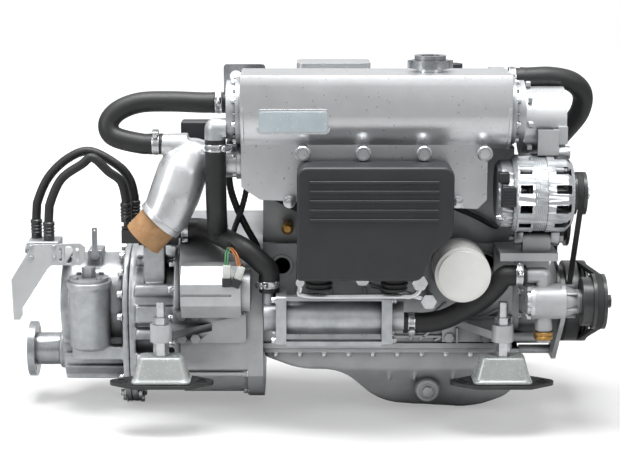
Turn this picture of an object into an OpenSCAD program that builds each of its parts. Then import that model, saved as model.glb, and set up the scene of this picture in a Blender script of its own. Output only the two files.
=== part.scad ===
// Four-cylinder marine diesel engine with a hydraulic reversing gearbox on four resilient mounts.
// +X points to the belt end, +Y to the injection pump side, +Z up. The origin lies midway
// between the four mounts, on the engine bed that their base plates rest on.

/* [Block] */
// Distance between neighbouring cylinder centres
bore_pitch = 103; // [98:1:108]
// Bore of each cylinder
bore_d = 90; // [80:1:94]
// Travel of each piston
stroke = 110; // [98:1:116]
// Height of the crankshaft's axis above the engine bed
crank_z = 100; // [92:1:108]
// Height of the joint between block and head
deck_z = 400; // [394:1:408]
// Width of the crankcase
crankcase_w = 220; // [208:1:230]
// Width of the block round the cylinders
barrel_w = 184; // [170:1:200]
// Height of the joint between block and sump
sump_z = 38; // [32:1:44]

/* [Head] */
// Thickness of the head gasket
gasket_t = 2; // [1:0.5:3]
// Height of the cylinder head casting
head_h = 86; // [78:1:90]
// Width of the cylinder head
head_w = 184; // [170:1:196]
// Height of the rocker cover
cover_h = 32; // [24:1:36]
// Diameter of the oil filler cap
oil_cap_d = 50; // [40:1:60]

/* [Coolant tank] */
// Radius of the tank's round shell
tank_r = 66; // [60:1:68]
// Distance of the tank's axis from the crankshaft's upright plane
tank_out = 178; // [176:1:186]
// Height of the tank's axis
tank_z = 478; // [474:1:484]
// Bore for the tube stack
stack_bore = 92; // [80:1:100]
// Outer diameter of one cooling tube
stack_tube_d = 8; // [6:0.5:9]
// Diameter of the pressure cap
cap_d = 66; // [56:1:72]

/* [Flywheel and gearbox] */
// Outer radius of the flywheel housing
bell_r = 168; // [164:1:172]
// Depth of the flywheel housing
bell_l = 148; // [140:1:154]
// Diameter of the flywheel
flywheel_d = 250; // [232:2:254]
// Width of the flywheel's rim
flywheel_t = 34; // [26:1:40]
// Distance from the crankshaft's axis down to the output shaft's axis
gear_drop = 92; // [84:1:96]
// Diameter of the output coupling
coupling_d = 102; // [98:1:110]
// Bolt circle of the output coupling
coupling_pcd = 82.5; // [80:0.5:86]
// Hole in the output coupling
coupling_hole_d = 10.5; // [8:0.5:12]

/* [Mounts] */
// Distance along the engine between front and rear mounts
mount_span_x = 596; // [590:1:602]
// Distance across the engine between left and right mounts
mount_span_y = 430; // [424:1:440]
// Width of a mount's base plate
base_w = 75; // [66:1:80]
// Distance between the two bed bolts of one mount
bed_bolt_span = 140; // [130:1:148]
// Distance from a bed bolt to the end of its base plate
base_end = 21.5; // [17:0.5:26]
// Hole for a bed bolt
bed_hole_d = 13; // [10:0.5:15]
// Height of a mount's dome above the bed
dome_h = 52; // [46:1:54]
// Diameter of the height-adjusting stud
stud_d = 16; // [12:1:18]

/* [Drive] */
// Diameter of the crankshaft pulley
crank_pulley_d = 150; // [130:1:160]
// Diameter of the coolant pump pulley
water_pulley_d = 110; // [96:1:120]
// Diameter of the alternator pulley
alt_pulley_d = 74; // [66:1:80]
// Diameter of the raw-water pump pulley
raw_pulley_d = 96; // [88:1:104]
// Height of a V-belt
belt_h = 8; // [6:0.5:10]
// Width of a V-belt
belt_w = 10; // [8:0.5:12]
// Diameter of the alternator body
alt_d = 134; // [124:1:138]

/* [Filters and cooler] */
// Diameter of the oil filter
filter_d = 96; // [88:1:98]
// Length of the oil filter
filter_l = 92; // [80:1:100]
// Diameter of the oil cooler's barrel
cooler_d = 60; // [54:1:64]
// Length of the air box
box_l = 263; // [250:1:268]
// Height of the air box
box_h = 194; // [180:1:200]
// Depth of the air box
box_t = 76; // [66:1:80]

/* [Hoses] */
// Outer diameter of the coolant hoses
hose_d = 36; // [32:1:38]
// Wall of the coolant hoses
hose_wall = 4.5; // [3.5:0.5:6]
// Outer diameter of the gearbox's oil hoses
oil_hose_d = 16; // [13:1:18]

/* [Hidden] */
$fn = 48;

// Shared values
cylinders = 4;
last = cylinders - 1;
over = 1;             // overrun of a cut past a face
run_gap = 0.05;       // radial clearance of a turning fit
gap = 0.5;        // clearance beside a moving piece
wall = 8;             // wall of the main castings
thin = 4;
edge_r = 6;
bolt_d = 12;
hull_fn = 32;
ball_fn = 24;
hose_sides = 12;
curve_steps = 3;
belt_steps = 16;

// Stations along the engine
row_x = 104;
aft_wall = 20;
fwd_wall = 16;
aft_x = cyl_x(0) - bore_pitch / 2 - aft_wall;
fwd_x = cyl_x(last) + bore_pitch / 2 + fwd_wall;
bell_aft = aft_x - bell_l;
case_y = crankcase_w / 2;
barrel_y = barrel_w / 2;
case_z = crank_z + 130;

function cyl_x(i) = row_x + (i - (last) / 2) * bore_pitch;
function half(size) = size / 2;

// Solids between stated planes
module bar_x(x0, x1, y, z, r) translate([x0, y, z]) rotate([0, 90, 0]) cylinder(r = r, h = x1 - x0);
module bar_y(y0, y1, x, z, r) translate([x, y1, z]) rotate([90, 0, 0]) cylinder(r = r, h = y1 - y0);
module bar_z(z0, z1, x, y, r) translate([x, y, z0]) cylinder(r = r, h = z1 - z0);
module slab(x0, x1, y0, y1, z0, z1) translate([x0, y0, z0]) cube([x1 - x0, y1 - y0, z1 - z0]);

// Timing cover and the front drive
front_x = fwd_x + 70;
timing_low_r = 98;
timing_top_r = 62;
timing_top_z = crank_z + 150;
timing_rim = 12;
front_gap = 14;
belt_clear = 10;
alt_belt_x = front_x + front_gap + half(belt_w) + belt_clear;
pump_belt_x = alt_belt_x + 36;
groove_w = belt_w + 2 * gap;
rim_t = 6;
edge_w = half(groove_w) + rim_t;
water_z = crank_z + 160;
pump_out = 215;
pump_z = crank_z + 49;
alt_out = 200;
alt_z = crank_z + 237;
water_socket_r = 16;

// Coolant pump
water_hub_r = 26;
water_shaft_r = 9;
water_body_r = 40;
spigot_r = (half(hose_d) - hose_wall) * cos(180 / hose_sides) - 0.1;
spigot_top_z = timing_top_z + timing_top_r + hose_d;
water_port_x = front_x - half(hose_d) - half(wall);

// Crankcase, cylinders and crankshaft
main_r = 30;
pin_r = 25;
pin_w = 32;
web_t = 16;
web_swing = stroke / 2 + pin_r;
web_half = 36;
tunnel_r = web_swing + wall;
bulkhead_t = 20;
cam_out = 72;
cam_z = crank_z + 90;
cam_r = 22;
cam_core_r = 13;
lobe_r = 15;
lobe_lift = 5;
lobe_w = 14;
pan_rail_t = 10;
pan_rail_out = 6;
rib_w = 6;
rib_out = 5;
core_plug_d = 40;
core_plug_t = 3;
pan_y = 96;
pan_wall = 5;
pan_inner = min(pan_y - pan_wall, tunnel_r);
crank_flange_t = 12;
flange_aft = aft_x - crank_flange_t - gap;
nose_r = 20;
crank_bolt_h = 12;
crank_bolt_af = 30;
crank_nose_fwd = pump_belt_x + edge_w;
piston_h = 84;
ring_t = 2.5;
ring_depth = 1.5;
crown_top = deck_z - half(stroke) - gasket_t;
wrist_r = 14;

// Sump: shallow aft, deep towards the belts
pan_z = -7;
pan_aft_z = 18;
pan_step_x = row_x - 84;
pan_deep_x = row_x - 12;
pan_deep_z = -77;
pan_heel_x = row_x + 160;
pan_heel_z = -88;
pan_toe_x = row_x + 236;
pan_toe_z = -56;
pan_aft_flat_x = row_x - 160;
pan_low_y = 62;
drain_x = row_x + 72;
drain_boss_r = 22;
drain_z = pan_z + half(pan_deep_z);
drain_af = 19;
drain_h = 8;

// Head and rocker cover
head_z = deck_z + gasket_t + head_h;
head_aft = aft_x + half(wall);
head_fwd = fwd_x - half(wall);
head_y = head_w / 2;
cover_in = 14;
cover_z = head_z + cover_h;
breather_x0 = row_x - 166;
breather_x1 = row_x - 33;
breather_half = 44;
breather_h = 26;
oil_cap_x = row_x + 110;
oil_neck_h = 5;
oil_cap_h = 16;
injector_r = 11;
injector_h = 22;
port_w = 42;
port_h = 40;
port_z = head_z - 58;

// Coolant tank with its exhaust manifold skirt
tank_aft = row_x - 260;
tank_fwd = row_x + 200;
tank_front = tank_out + tank_r;
tank_back = tank_out - tank_r;
tank_gap = tank_back - head_y;
tank_z1 = tank_z + tank_r;
facet = 18;
skirt_out = 215;
skirt_low_z = tank_z - 150;
skirt_cut_x = 32;
skirt_cut_z = 22;
skirt_end_x = tank_fwd - 38;
skirt_drop_z = skirt_low_z - 16;
boss_r = 13;
boss_out = 30;
boss_z = tank_z - 66;
neck_x = row_x + 65;
neck_out = 165;
neck_h = 5;
neck_r = 24;
hose_boss_l = 26;

// Tank end caps, tube stack, pressure cap and header
cap_l = 25;
cap_rim_t = 9;
cap_face_r = tank_r - 8;
u_hose_out = 140;
u_hose_z = tank_z + 9;
riser_out = 212;
riser_z = tank_z - 27;
riser_x = tank_aft - 44;
riser_top_z = riser_z - half(hose_d) - gap;
spigot_l = 28;
header_aft = tank_fwd + cap_l;
header_l = 75;
header_out = 130;
header_z = tank_z - 23;
header_r = 61;
header_in = 80;
ear_x = header_aft + 59;
ear_z = header_z - 33;
ear_h = 30;
ear_out = 202;
cap_skirt_h = 14;
cap_dome_h = 8;

// Exhaust elbow
elbow_y = -160;
start_r = 29;
belly_r = 44;
elbow_flange_t = 10;
elbow_flange_r = 32;
elbow_z = tank_z - cap_face_r - gap - elbow_flange_r;
elbow_reach = 145;
elbow_fall = 104;
elbow_out = 22;
ring_r = 36;
ring_l = 42;
ring_turn = 223;
collar_l = ring_r + thin;
// Places as shares of the reach aft, of the fall and of the lean outwards
elbow_shares = [[0.24, 0, 0], [0.36, -0.02, 0], [0.58, -0.04, 0.1], [0.73, 0.21, 0.4], [0.81, 0.55, 0.75]];
elbow_end = [tank_aft - elbow_reach, elbow_y - elbow_out, elbow_z - elbow_fall];
stub_z = elbow_z + half(start_r) * 2 + gap;
stub_aft = tank_aft - 164;
stub_r = 14;

// Air box, element and boots
box_back = 234;
box_x0 = row_x - 164;
box_x1 = box_x0 + box_l;
box_z1 = boss_z - boss_r - gap;
box_z0 = box_z1 - box_h;
box_front = box_back + box_t;
box_bevel = 14;
box_cut_x = 54;
box_cut_z = 78;
box_wall = 4;
groove_count = 8;
groove_z0 = box_z1 - 88;
groove_pitch = 8;
groove_depth = 2;
boot_r = 24;
boot_h = 28;
boot_edge = 12;
boot_x = [box_x0 + 37, box_x0 + 166];
boot_out = 263;
duct_r = 13;
duct_z = box_z0 - duct_r - half(thin);

// Oil cooler with its pipes
cooler_out = 200;
cooler_z = crank_z + 19;
cooler_x0 = row_x - 201;
cooler_x1 = row_x;
frame_t = 18;
frame_h = 88;
frame_w = 80;
cooler_bar = 8;
cooler_cap_l = 21;
cooler_cap_r = 26;
cooler_in_x = cooler_x0 - 12;
cooler_in_top_z = cooler_z + 44;
cooler_out_z = cooler_z - 12;
lug_r = 10;
pipe_r = 5;
pipe_out = 252;
pipe_z = crank_z + 67;
pipe_x0 = cooler_x0 + 42;
pipe_x1 = cooler_x1 + 46;
pipe_xb = cooler_x1 - 51;
pipe_xc = cooler_x1 + 64;
pipe_zc = pipe_z - 17;
nut_af = 24;
nut_h = 18;

// Oil filter
filter_x = row_x + 120;
filter_z = crank_z + 103;
filter_head_t = 53;
filter_head_r = 40;
filter_seat = case_y + filter_head_t;

// Flywheel housing and flywheel
bell_flat = 140;
bell_wall = 10;
bell_front_t = 12;
bell_hole_r = main_r * 1.5 + wall;
bell_rear_hole_r = 100;
bell_flange_r = bell_r + 8;
bell_flange_t = 28;
rim_r = flywheel_d / 2;
flywheel_fwd = flange_aft;
flywheel_aft = flywheel_fwd - flywheel_t;
teeth = 90;
tooth_h = 4;
damper_r = 105;
damper_t = 14;
input_r = 14;

// Gearbox
gear_front_l = 84;
gear_rim = 12;
split_x = bell_aft - gear_front_l - gear_rim;
gear_aft = split_x - 124;
out_z = crank_z - gear_drop;
gear_seal_l = 13;
gear_seal_r = 36;
out_shaft_r = 20;
gear_front_r = 112;
gear_rear_r = 92;
gear_low_r = 74;
rear_low_r = 56;
gear_flange_r = 108;
flange_low_r = 98;
gear_mate_r = 138;
gear_rib_t = 6;
pot_x = split_x - 71;
pot_out = 95;
pot_r = 37;
pot_z0 = out_z + 31;
pot_z1 = out_z + 152;
pot_lid_h = 6;
pot_hex_af = 22;
pot_hex_h = 18;
pad_top_z = crank_z + gear_rear_r;
pad_l = 14;
pad_half = 25;
lever_x = split_x - 64;
lever_z = pad_top_z + 6;
lever_out = 50;
hub_r = 9;
lever_l = 50;
lever_t = 6;
gcool_boss_z = crank_z + 124;
gcool_x0 = bell_aft - 75;
gcool_x1 = bell_aft - 5;
gcool_r = 24;
gcool_out = 94;
gcool_z = gcool_boss_z + gcool_r;
gcool_block_l = 29;
cross_out = 106;
cross_z = gcool_z + 10;
gear_rib_share = 2;
lever_shaft_r = 5;
coupling_t = 13;
coupling_gap = 44;
coupling_hub_r = 30;
pilot_r = 31;
pilot_depth = 3;
plate_out = 118;
plate_t = 4;
bracket_l = 200;
bracket_h = 100;
bracket_shares = [[0.415, 0], [0.37, 0.07], [0.37, 0.33], [0.415, 0.4], [0.835, 0.38], [1.035, -0.26],
  [1.025, -1], [0.97, -1], [0.945, -0.92], [0.945, -0.79], [0.71, -0.07], [0.675, 0]];
slot_shares = [[0.55, 0.04], [0.48, 0.35]];
hole_shares = [[0.585, 0.1], [0.585, 0.29], [0.44, 0.1], [0.44, 0.29]];

// Alternator
alt_r = alt_d / 2;
alt_aft = front_x - 84;
alt_fwd = front_x + 16;
alt_cover_l = 29;
alt_cover_r = alt_r - 9;
alt_shell = 13;
alt_end_t = 7;
stator_x0 = alt_aft + 31;
stator_x1 = stator_x0 + 23;
alt_lug_x = stator_x1 + alt_shell;
alt_rotor_r = alt_r - alt_shell - 6;
alt_shaft_r = 8.5;
alt_vents = 12;
vent_w = 15;
lug_t = 14;
alt_lug_r = 12;
pivot_out = 196;
pivot_z = alt_z - alt_r - 12;
pivot_pin_r = 5;
pivot_gap = 0.3;
top_lug_z = alt_z + alt_r + 4;
strap_x1 = front_x - 8;
strap_w = 36;
strap_t = 8;
strap_z0 = alt_z + alt_r + gap;
strap_z1 = ear_z + ear_h - 4;
bracket_top_z = pivot_z - 22;
bracket_t = 14;

// Raw-water pump
lid_t = 12;
lid_x = front_x - 58;
body_x = lid_x + lid_t;
body_r = 31;
chamber_r = 25;
chamber_l = 20;
pump_neck_r = 20;
pump_neck_fwd = pump_belt_x - 29;
pump_shaft_r = 8;
pump_flange_r = 42;
impeller_blades = 6;
inlet_x = front_x - 27;
inlet_r = 12.5;
inlet_neck_r = 15;
outlet_r = 14;
inlet_neck_l = 50;
inlet_end_z = pump_z - 72;
outlet_z = pump_z + 46;
outlet_x = body_x + inlet_neck_r;
pump_plate_t = 8;
spacer_r = 8;

// Mounts and the arms that carry them
mount_x = mount_span_x / 2;
mount_y = mount_span_y / 2;
base_t = 6;
base_l = bed_bolt_span + 2 * base_end;
dome_l = 104;
dome_w = 62;
dome_top_l = 80;
dome_top_w = 46;
dome_shoulder_z = dome_h * 0.45;
nut_t = 13;
stud_af = 24;
arm_t = 14;
boss_h = 30;
arm_boss_z = dome_h + 2 * nut_t;
arm_boss_r = 19;
stud_top_z = arm_boss_z + boss_h + nut_t + 27;
arm_z0 = sump_z + pan_rail_t + 4;
arm_z1 = crank_z - 2;
arm_pad = 12;
arm_aft = row_x + 96;
arm_fwd = fwd_x;
rear_aft = bell_aft - 12;
rear_fwd = aft_x - 30;
rear_top = crank_z + 15;
rear_low = sump_z + 20;

// Hoses: routes chosen by hand
u_x0 = tank_aft - cap_l - 2;
u_end_x = stub_aft + spigot_l;
clamp_w = 12;
clamp_t = 1.2;
hose_lead = 34;
hose_bore = hose_d - 2 * hose_wall;
top_hose_y = half(hose_d) - tank_back;
top_hose_z = tank_z1 - half(hose_d);
u_route = [[0, 0, 0], [-40, 0, 0], [-100, 0, 2], [-152, -2, 0], [-189, -5, -14], [-206, -9, -36], [-195,
  -14, -58]];
top_route = [[0, 0, 0], [33, 0, 0], [75, 1, 1], [113, 6, -8], [135, 22, -32], [133, 42, -68], [107, 62,
  -108],
  [79, 82, -146]];
riser_route = [[0, 0, 0], [0, 0, -40], [0, 8, -88], [0, 24, -132], [0, 46, -164], [0, 56, -178]];
cross_route = [[0, 0, 0], [37, 0, 0], [62, -26, -2], [88, -62, -8], [121, -88, -20], [151, -94, -44]];
forward_route = [[0, 0, 0], [36, 0, 0], [72, 2, 6], [107, 5, 21], [138, 2, 38], [160, -7, 66]];

// Gearbox oil cooler and the gearbox hoses
ferrule_r = 11;
ferrule_l = 26;
end_pipe_r = 5;
valve_z0 = pad_top_z + plate_t;
valve_h = 38;
valve_l = 54;
end_pipe_l = 22;
line_starts = [[-42, -72], [-16, -98]];
line_ends = [[-8, -82], [-21, -106]];
lead_routes = [[[0, 0, 0], [2, 0, 28], [24, 0, 76], [62, -5, 112]], [[0, 0, 0], [2, 0, 28], [24, 0, 76],
  [62, -4, 104]]];
fall_routes = [[[-77.5, 5, 88], [-30, 0, 64], [-8, 0, 38], [0, 0, 6], [0, 0, 0]],
  [[-58, 4, 80], [-30, 0, 56], [-8, 0, 38], [0, 0, 6], [0, 0, 0]]];

// Starter motor
starter_w = 92;
starter_out = bell_flat + starter_w / 2;
starter_z = crank_z + 63;
starter_aft = bell_aft + 8;
starter_fwd = aft_x - 36;

// Injection pump, its levers and lines
inj_x0 = row_x + 46;
inj_l = 150;
inj_out = case_y + 68;
inj_z0 = crank_z + 48;
inj_z1 = case_z - thin;
gov_l = 46;
gov_x = inj_x0 - half(gov_l);
valve_r = 8;
valve_len = 26;
line_out = case_y + 34;
inj_lever = 52;
inj_shaft_r = 5;
line_r = 3;

// Lifting eyes and dipstick
eye_t = 8;
eye_r = 11;
eye_aft_out = 60;
eye_fwd_in = 40;
eye_z = head_z + 36;
stick_x = row_x - bore_pitch;
stick_out = case_y + 12;
stick_r = 3;
tube_r = 6;
tube_h = 110;
stick_travel = 230;
stick_low_z = sump_z + pan_rail_t + wall;

// Rounded rectangle centred on the origin, made of squares and circles
module round_rect(w, h, r) {
  square([w, h - 2 * r], center = true);
  square([w - 2 * r, h], center = true);
  for (x = [-1, 1], y = [-1, 1]) translate([x * (half(w) - r), y * (half(h) - r)]) circle(r = r);
}

// Rounded plate lying in the X-Z plane, between two Y planes
module plate_y(x0, x1, z0, z1, y0, y1, r)
  translate([half(x0 + x1), y1, half(z0 + z1)]) rotate([90, 0, 0])
    linear_extrude(y1 - y0) round_rect(x1 - x0, z1 - z0, r);

// Rounded plate lying in the X-Y plane, between two heights
module plate_z(x0, x1, y0, y1, z0, z1, r)
  translate([half(x0 + x1), half(y0 + y1), z0]) linear_extrude(z1 - z0) round_rect(x1 - x0, y1 - y0, r);

// Outline in Y and Z, drawn along X between two stations
module along_x(x0, x1) translate([x0, 0, 0]) rotate([90, 0, 90]) linear_extrude(x1 - x0) children();

// Outline in X and Z, drawn along Y between two planes
module along_y(y0, y1) translate([0, y1, 0]) rotate([90, 0, 0]) linear_extrude(y1 - y0) children();

// Copies on both sides
module both_sides() for (m = [0, 1]) mirror([0, m, 0]) children();

// Hexagon bolt head or nut, across-flats size, along X, Y or Z
module hex_x(x0, x1, y, z, af) translate([x0, y, z]) rotate([0, 90, 0]) cylinder(d = af / cos(30),
  h = x1 - x0, $fn = 6);
module hex_y(y0, y1, x, z, af) translate([x, y1, z]) rotate([90, 0, 0]) cylinder(d = af / cos(30),
  h = y1 - y0, $fn = 6);
module hex_z(z0, z1, x, y, af) translate([x, y, z0]) cylinder(d = af / cos(30), h = z1 - z0, $fn = 6);

// Smooth curve through hand-placed points, straight from each end to the next point
function unit(v) = v / norm(v);
function spline(a, b, c, d, t) =
  b + half((c - a) * t + (2 * a - 5 * b + 4 * c - d) * t * t + (3 * b - a - 3 * c + d) * t * t * t);
function curve(p, steps) = concat([p[0]],
  [for (i = [1:len(p) - 3], s = [0:steps - 1]) spline(p[i - 1], p[i], p[i + 1], p[i + 2], s / steps)],
  [p[len(p) - 2], p[len(p) - 1]]);

// Hose along a route, and a solid rod along one
function tangent(p, i) = unit(p[min(i + 1, len(p) - 1)] - p[max(i - 1, 0)]);
function ring(p, i, r, sides) =
  let (t = tangent(p, i), n = unit(cross(t, [0, 1, 0])), b = cross(t, n))
  [for (k = [0:sides - 1]) p[i] + r * (cos(360 * k / sides) * n + sin(360 * k / sides) * b)];
function skin(first, rings, sides, flip) =
  [for (i = [0:rings - 2], k = [0:sides - 1], q = [0, 1])
    let (a = first + i * sides + k, b = first + i * sides + (k + 1) % sides,
      face = q == 0 ? [a, a + sides, b] : [b, a + sides, b + sides])
    flip ? [face[2], face[1], face[0]] : face];
function end_ring(outer, inner, sides, flip) =
  [for (k = [0:sides - 1], q = [0, 1])
    let (n = (k + 1) % sides,
      face = q == 0 ? [outer + k, outer + n, inner + k] : [outer + n, inner + n, inner + k])
    flip ? [face[2], face[1], face[0]] : face];

module hose(route) {
  sides = hose_sides;
  p = curve(route, curve_steps);
  n = len(p);
  outer = [for (i = [0:n - 1]) each ring(p, i, half(hose_d), sides)];
  inner = [for (i = [0:n - 1]) each ring(p, i, half(hose_bore), sides)];
  polyhedron(
    points = concat(outer, inner),
    faces = concat(
      skin(0, n, sides, false),
      skin(n * sides, n, sides, true),
      end_ring(0, n * sides, sides, false),
      end_ring((n - 1) * sides, (2 * n - 1) * sides, sides, true)));
}

module rod(route, r, sides) {
  p = curve(route, curve_steps);
  n = len(p);
  points = [for (i = [0:n - 1]) each ring(p, i, r, sides)];
  polyhedron(
    points = concat(points, [p[0], p[n - 1]]),
    faces = concat(
      skin(0, n, sides, false),
      [for (k = [0:sides - 1]) [k, (k + 1) % sides, n * sides]],
      [for (k = [0:sides - 1]) [(n - 1) * sides + (k + 1) % sides, (n - 1) * sides + k, n * sides + 1]]));
}

module timing_outline(grow) {
  intersection() {
    translate([0, crank_z]) circle(r = timing_low_r + grow);
    translate([-crankcase_w, sump_z]) square([2 * crankcase_w, 2 * crankcase_w]);
  }
  translate([0, timing_top_z]) circle(r = timing_top_r + grow);
  polygon([[-timing_low_r - grow, crank_z], [timing_low_r + grow, crank_z],
    [timing_top_r + grow, timing_top_z], [-timing_top_r - grow, timing_top_z]]);
}
module timing_cover() color("#a4a7aa") difference() {
  union() {
    along_x(fwd_x, fwd_x + timing_rim) timing_outline(timing_rim);
    along_x(fwd_x + timing_rim, front_x) timing_outline(0);
    bar_x(front_x, front_x + half(front_gap), 0, crank_z, nose_r + wall);
    bar_z(timing_top_z, spigot_top_z, water_port_x, 0, spigot_r);
  }
  bar_x(fwd_x - over, front_x + front_gap, 0, crank_z, nose_r + run_gap);
  bar_x(front_x - half(front_gap) - front_gap, front_x + over, 0, water_z, water_socket_r);
}

// Profile of a grooved pulley: hub, web and rim, turned about its axis
module pulley(x, d, hub_r, bore_r, hub_l) translate([x, 0, 0]) rotate([0, 90, 0]) rotate([0, 0,
  90]) rotate_extrude() {
  g = half(groove_w);
  rim = half(d);
  bed = rim - belt_h - gap;
  polygon([[bore_r, -edge_w], [bore_r, hub_l], [hub_r, hub_l], [hub_r, half(g)],
    [bed - rim_t, half(g)], [bed - rim_t, edge_w], [rim, edge_w], [rim, g],
    [bed, g], [bed, -g], [rim, -g], [rim, -edge_w]]);
}
module crank_pulley() {
  g = half(groove_w);
  rim = half(crank_pulley_d);
  bed = rim - belt_h - gap;
  step = pump_belt_x - alt_belt_x;
  color("#2c2d2f") translate([alt_belt_x, 0, crank_z]) rotate([0, 90, 0]) rotate_extrude()
    polygon([[nose_r, -edge_w], [nose_r, step + edge_w], [nose_r + wall, step + edge_w],
      [nose_r + wall, step - g], [bed - wall, step - g], [bed - wall, step + edge_w],
      [rim, step + edge_w], [rim, step + g], [bed, step + g], [bed, step - g],
      [rim, step - g], [rim, g], [bed, g], [bed, -g], [rim, -g], [rim, -edge_w]]);
}

module coolant_pump() color("#9da0a3") {
  difference() {
    union() {
      bar_x(front_x, front_x + half(front_gap), 0, water_z, water_body_r);
      bar_x(front_x - front_gap, front_x, 0, water_z, water_socket_r);
      bar_x(front_x + half(front_gap), alt_belt_x - edge_w - gap, 0, water_z, water_hub_r);
    }
    bar_x(front_x - half(front_gap), alt_belt_x, 0, water_z, water_shaft_r + run_gap);
  }
}
module coolant_pulley() color("#2c2d2f") {
  translate([0, 0, water_z]) pulley(alt_belt_x, water_pulley_d, water_hub_r, water_shaft_r, edge_w);
  bar_x(front_x - half(front_gap) + gap, alt_belt_x + edge_w, 0, water_z, water_shaft_r);
}

module cylinder_block() {
  color("#b4b7ba") difference() {
    union() {
      slab(aft_x, fwd_x, -case_y, case_y, sump_z + pan_rail_t, case_z);
      slab(aft_x, fwd_x, -case_y - pan_rail_out, case_y + pan_rail_out,
        sump_z, sump_z + pan_rail_t);
      slab(aft_x, fwd_x, -barrel_y, barrel_y, case_z, deck_z);
      for (i = [0:cylinders]) {
        x = min(max(cyl_x(i) - half(bore_pitch), aft_x + half(rib_w)), fwd_x - half(rib_w));
        slab(x - half(rib_w), x + half(rib_w), barrel_y, barrel_y + rib_out, case_z,
          deck_z - wall);
      }
      for (i = [0:last])
        bar_y(barrel_y, barrel_y + core_plug_t, cyl_x(i), half(case_z + deck_z),
          half(core_plug_d));
      dipstick_tube();
    }
    for (i = [0:last]) {
      bar_z(crank_z, deck_z + over, cyl_x(i), 0, half(bore_d));
      x0 = i == 0 ? aft_x + aft_wall : cyl_x(i) - half(bore_pitch - bulkhead_t);
      x1 = i == last ? fwd_x - fwd_wall : cyl_x(i) + half(bore_pitch - bulkhead_t);
      bar_x(x0, x1, 0, crank_z, tunnel_r);
      slab(x0, x1, -pan_inner, pan_inner, sump_z - over, crank_z - half(main_r));
    }
    bar_x(aft_x - over, fwd_x + over, 0, crank_z, main_r + run_gap);
    bar_x(aft_x + wall, fwd_x - wall, cam_out, cam_z, cam_r + run_gap);
    bar_z(stick_low_z, case_z + tube_h + over, stick_x, stick_out, stick_r + run_gap);
  }
}
module crankshaft() {
  flange_r = main_r + half(main_r);
  color("#8f9294") {
    for (i = [0:last]) {
      side = i == 0 || i == last ? -1 : 1;
      x = cyl_x(i);
      bar_x(x - half(pin_w), x + half(pin_w), side * half(stroke), crank_z, pin_r);
      for (x0 = [x - half(pin_w) - web_t, x + half(pin_w)])
        along_x(x0, x0 + web_t) translate([0, crank_z]) intersection() {
          circle(r = web_swing);
          square([2 * web_swing, 2 * web_half], center = true);
        }
    }
    for (i = [0:cylinders]) {
      x0 = i == 0 ? flange_aft + crank_flange_t : cyl_x(i - 1) + half(pin_w) + web_t;
      x1 = i == cylinders ? fwd_x - gap : cyl_x(i) - half(pin_w) - web_t;
      bar_x(x0, x1, 0, crank_z, main_r);
    }
    bar_x(flange_aft, flange_aft + crank_flange_t, 0, crank_z, flange_r);
    bar_x(fwd_x - wall, crank_nose_fwd, 0, crank_z, nose_r);
    hex_x(crank_nose_fwd, crank_nose_fwd + crank_bolt_h, 0, crank_z, crank_bolt_af);
  }
}
module piston(i) difference() {
  bar_z(crown_top - piston_h, crown_top, cyl_x(i), 0, half(bore_d) - run_gap);
  bar_z(crown_top - piston_h - over, crown_top - half(piston_h), cyl_x(i), 0, half(bore_d) - wall);
  for (k = [1:3]) translate([cyl_x(i), 0, crown_top - 3 * k * ring_t]) difference() {
    cylinder(r = half(bore_d) + over, h = ring_t);
    translate([0, 0, -over]) cylinder(r = half(bore_d) - ring_depth, h = ring_t + 2 * over);
  }
  bar_x(cyl_x(i) - bore_d, cyl_x(i) + bore_d, 0, crown_top - half(piston_h) - wrist_r, wrist_r);
}
module pistons_outer() color("#c3c5c6") for (i = [0, last]) piston(i);
module pistons_inner() color("#c3c5c6") for (i = [1:cylinders - 2]) piston(i);
module camshaft() color("#8f9294") {
  bar_x(aft_x + wall + gap, fwd_x - wall - gap, cam_out, cam_z, cam_core_r);
  for (i = [0:cylinders]) {
    x = min(max(cyl_x(i) - half(bore_pitch), aft_x + aft_wall), fwd_x - fwd_wall);
    bar_x(x - half(bulkhead_t) + gap, x + half(bulkhead_t) - gap - wall, cam_out, cam_z, cam_r);
  }
  for (i = [0:last], valve = [-1, 1]) {
    angle = 90 * i + 55 * valve;
    x = cyl_x(i) + valve * lobe_w;
    bar_x(x - half(lobe_w), x + half(lobe_w), cam_out + lobe_lift * cos(angle),
      cam_z + lobe_lift * sin(angle), lobe_r);
  }
}

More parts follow.
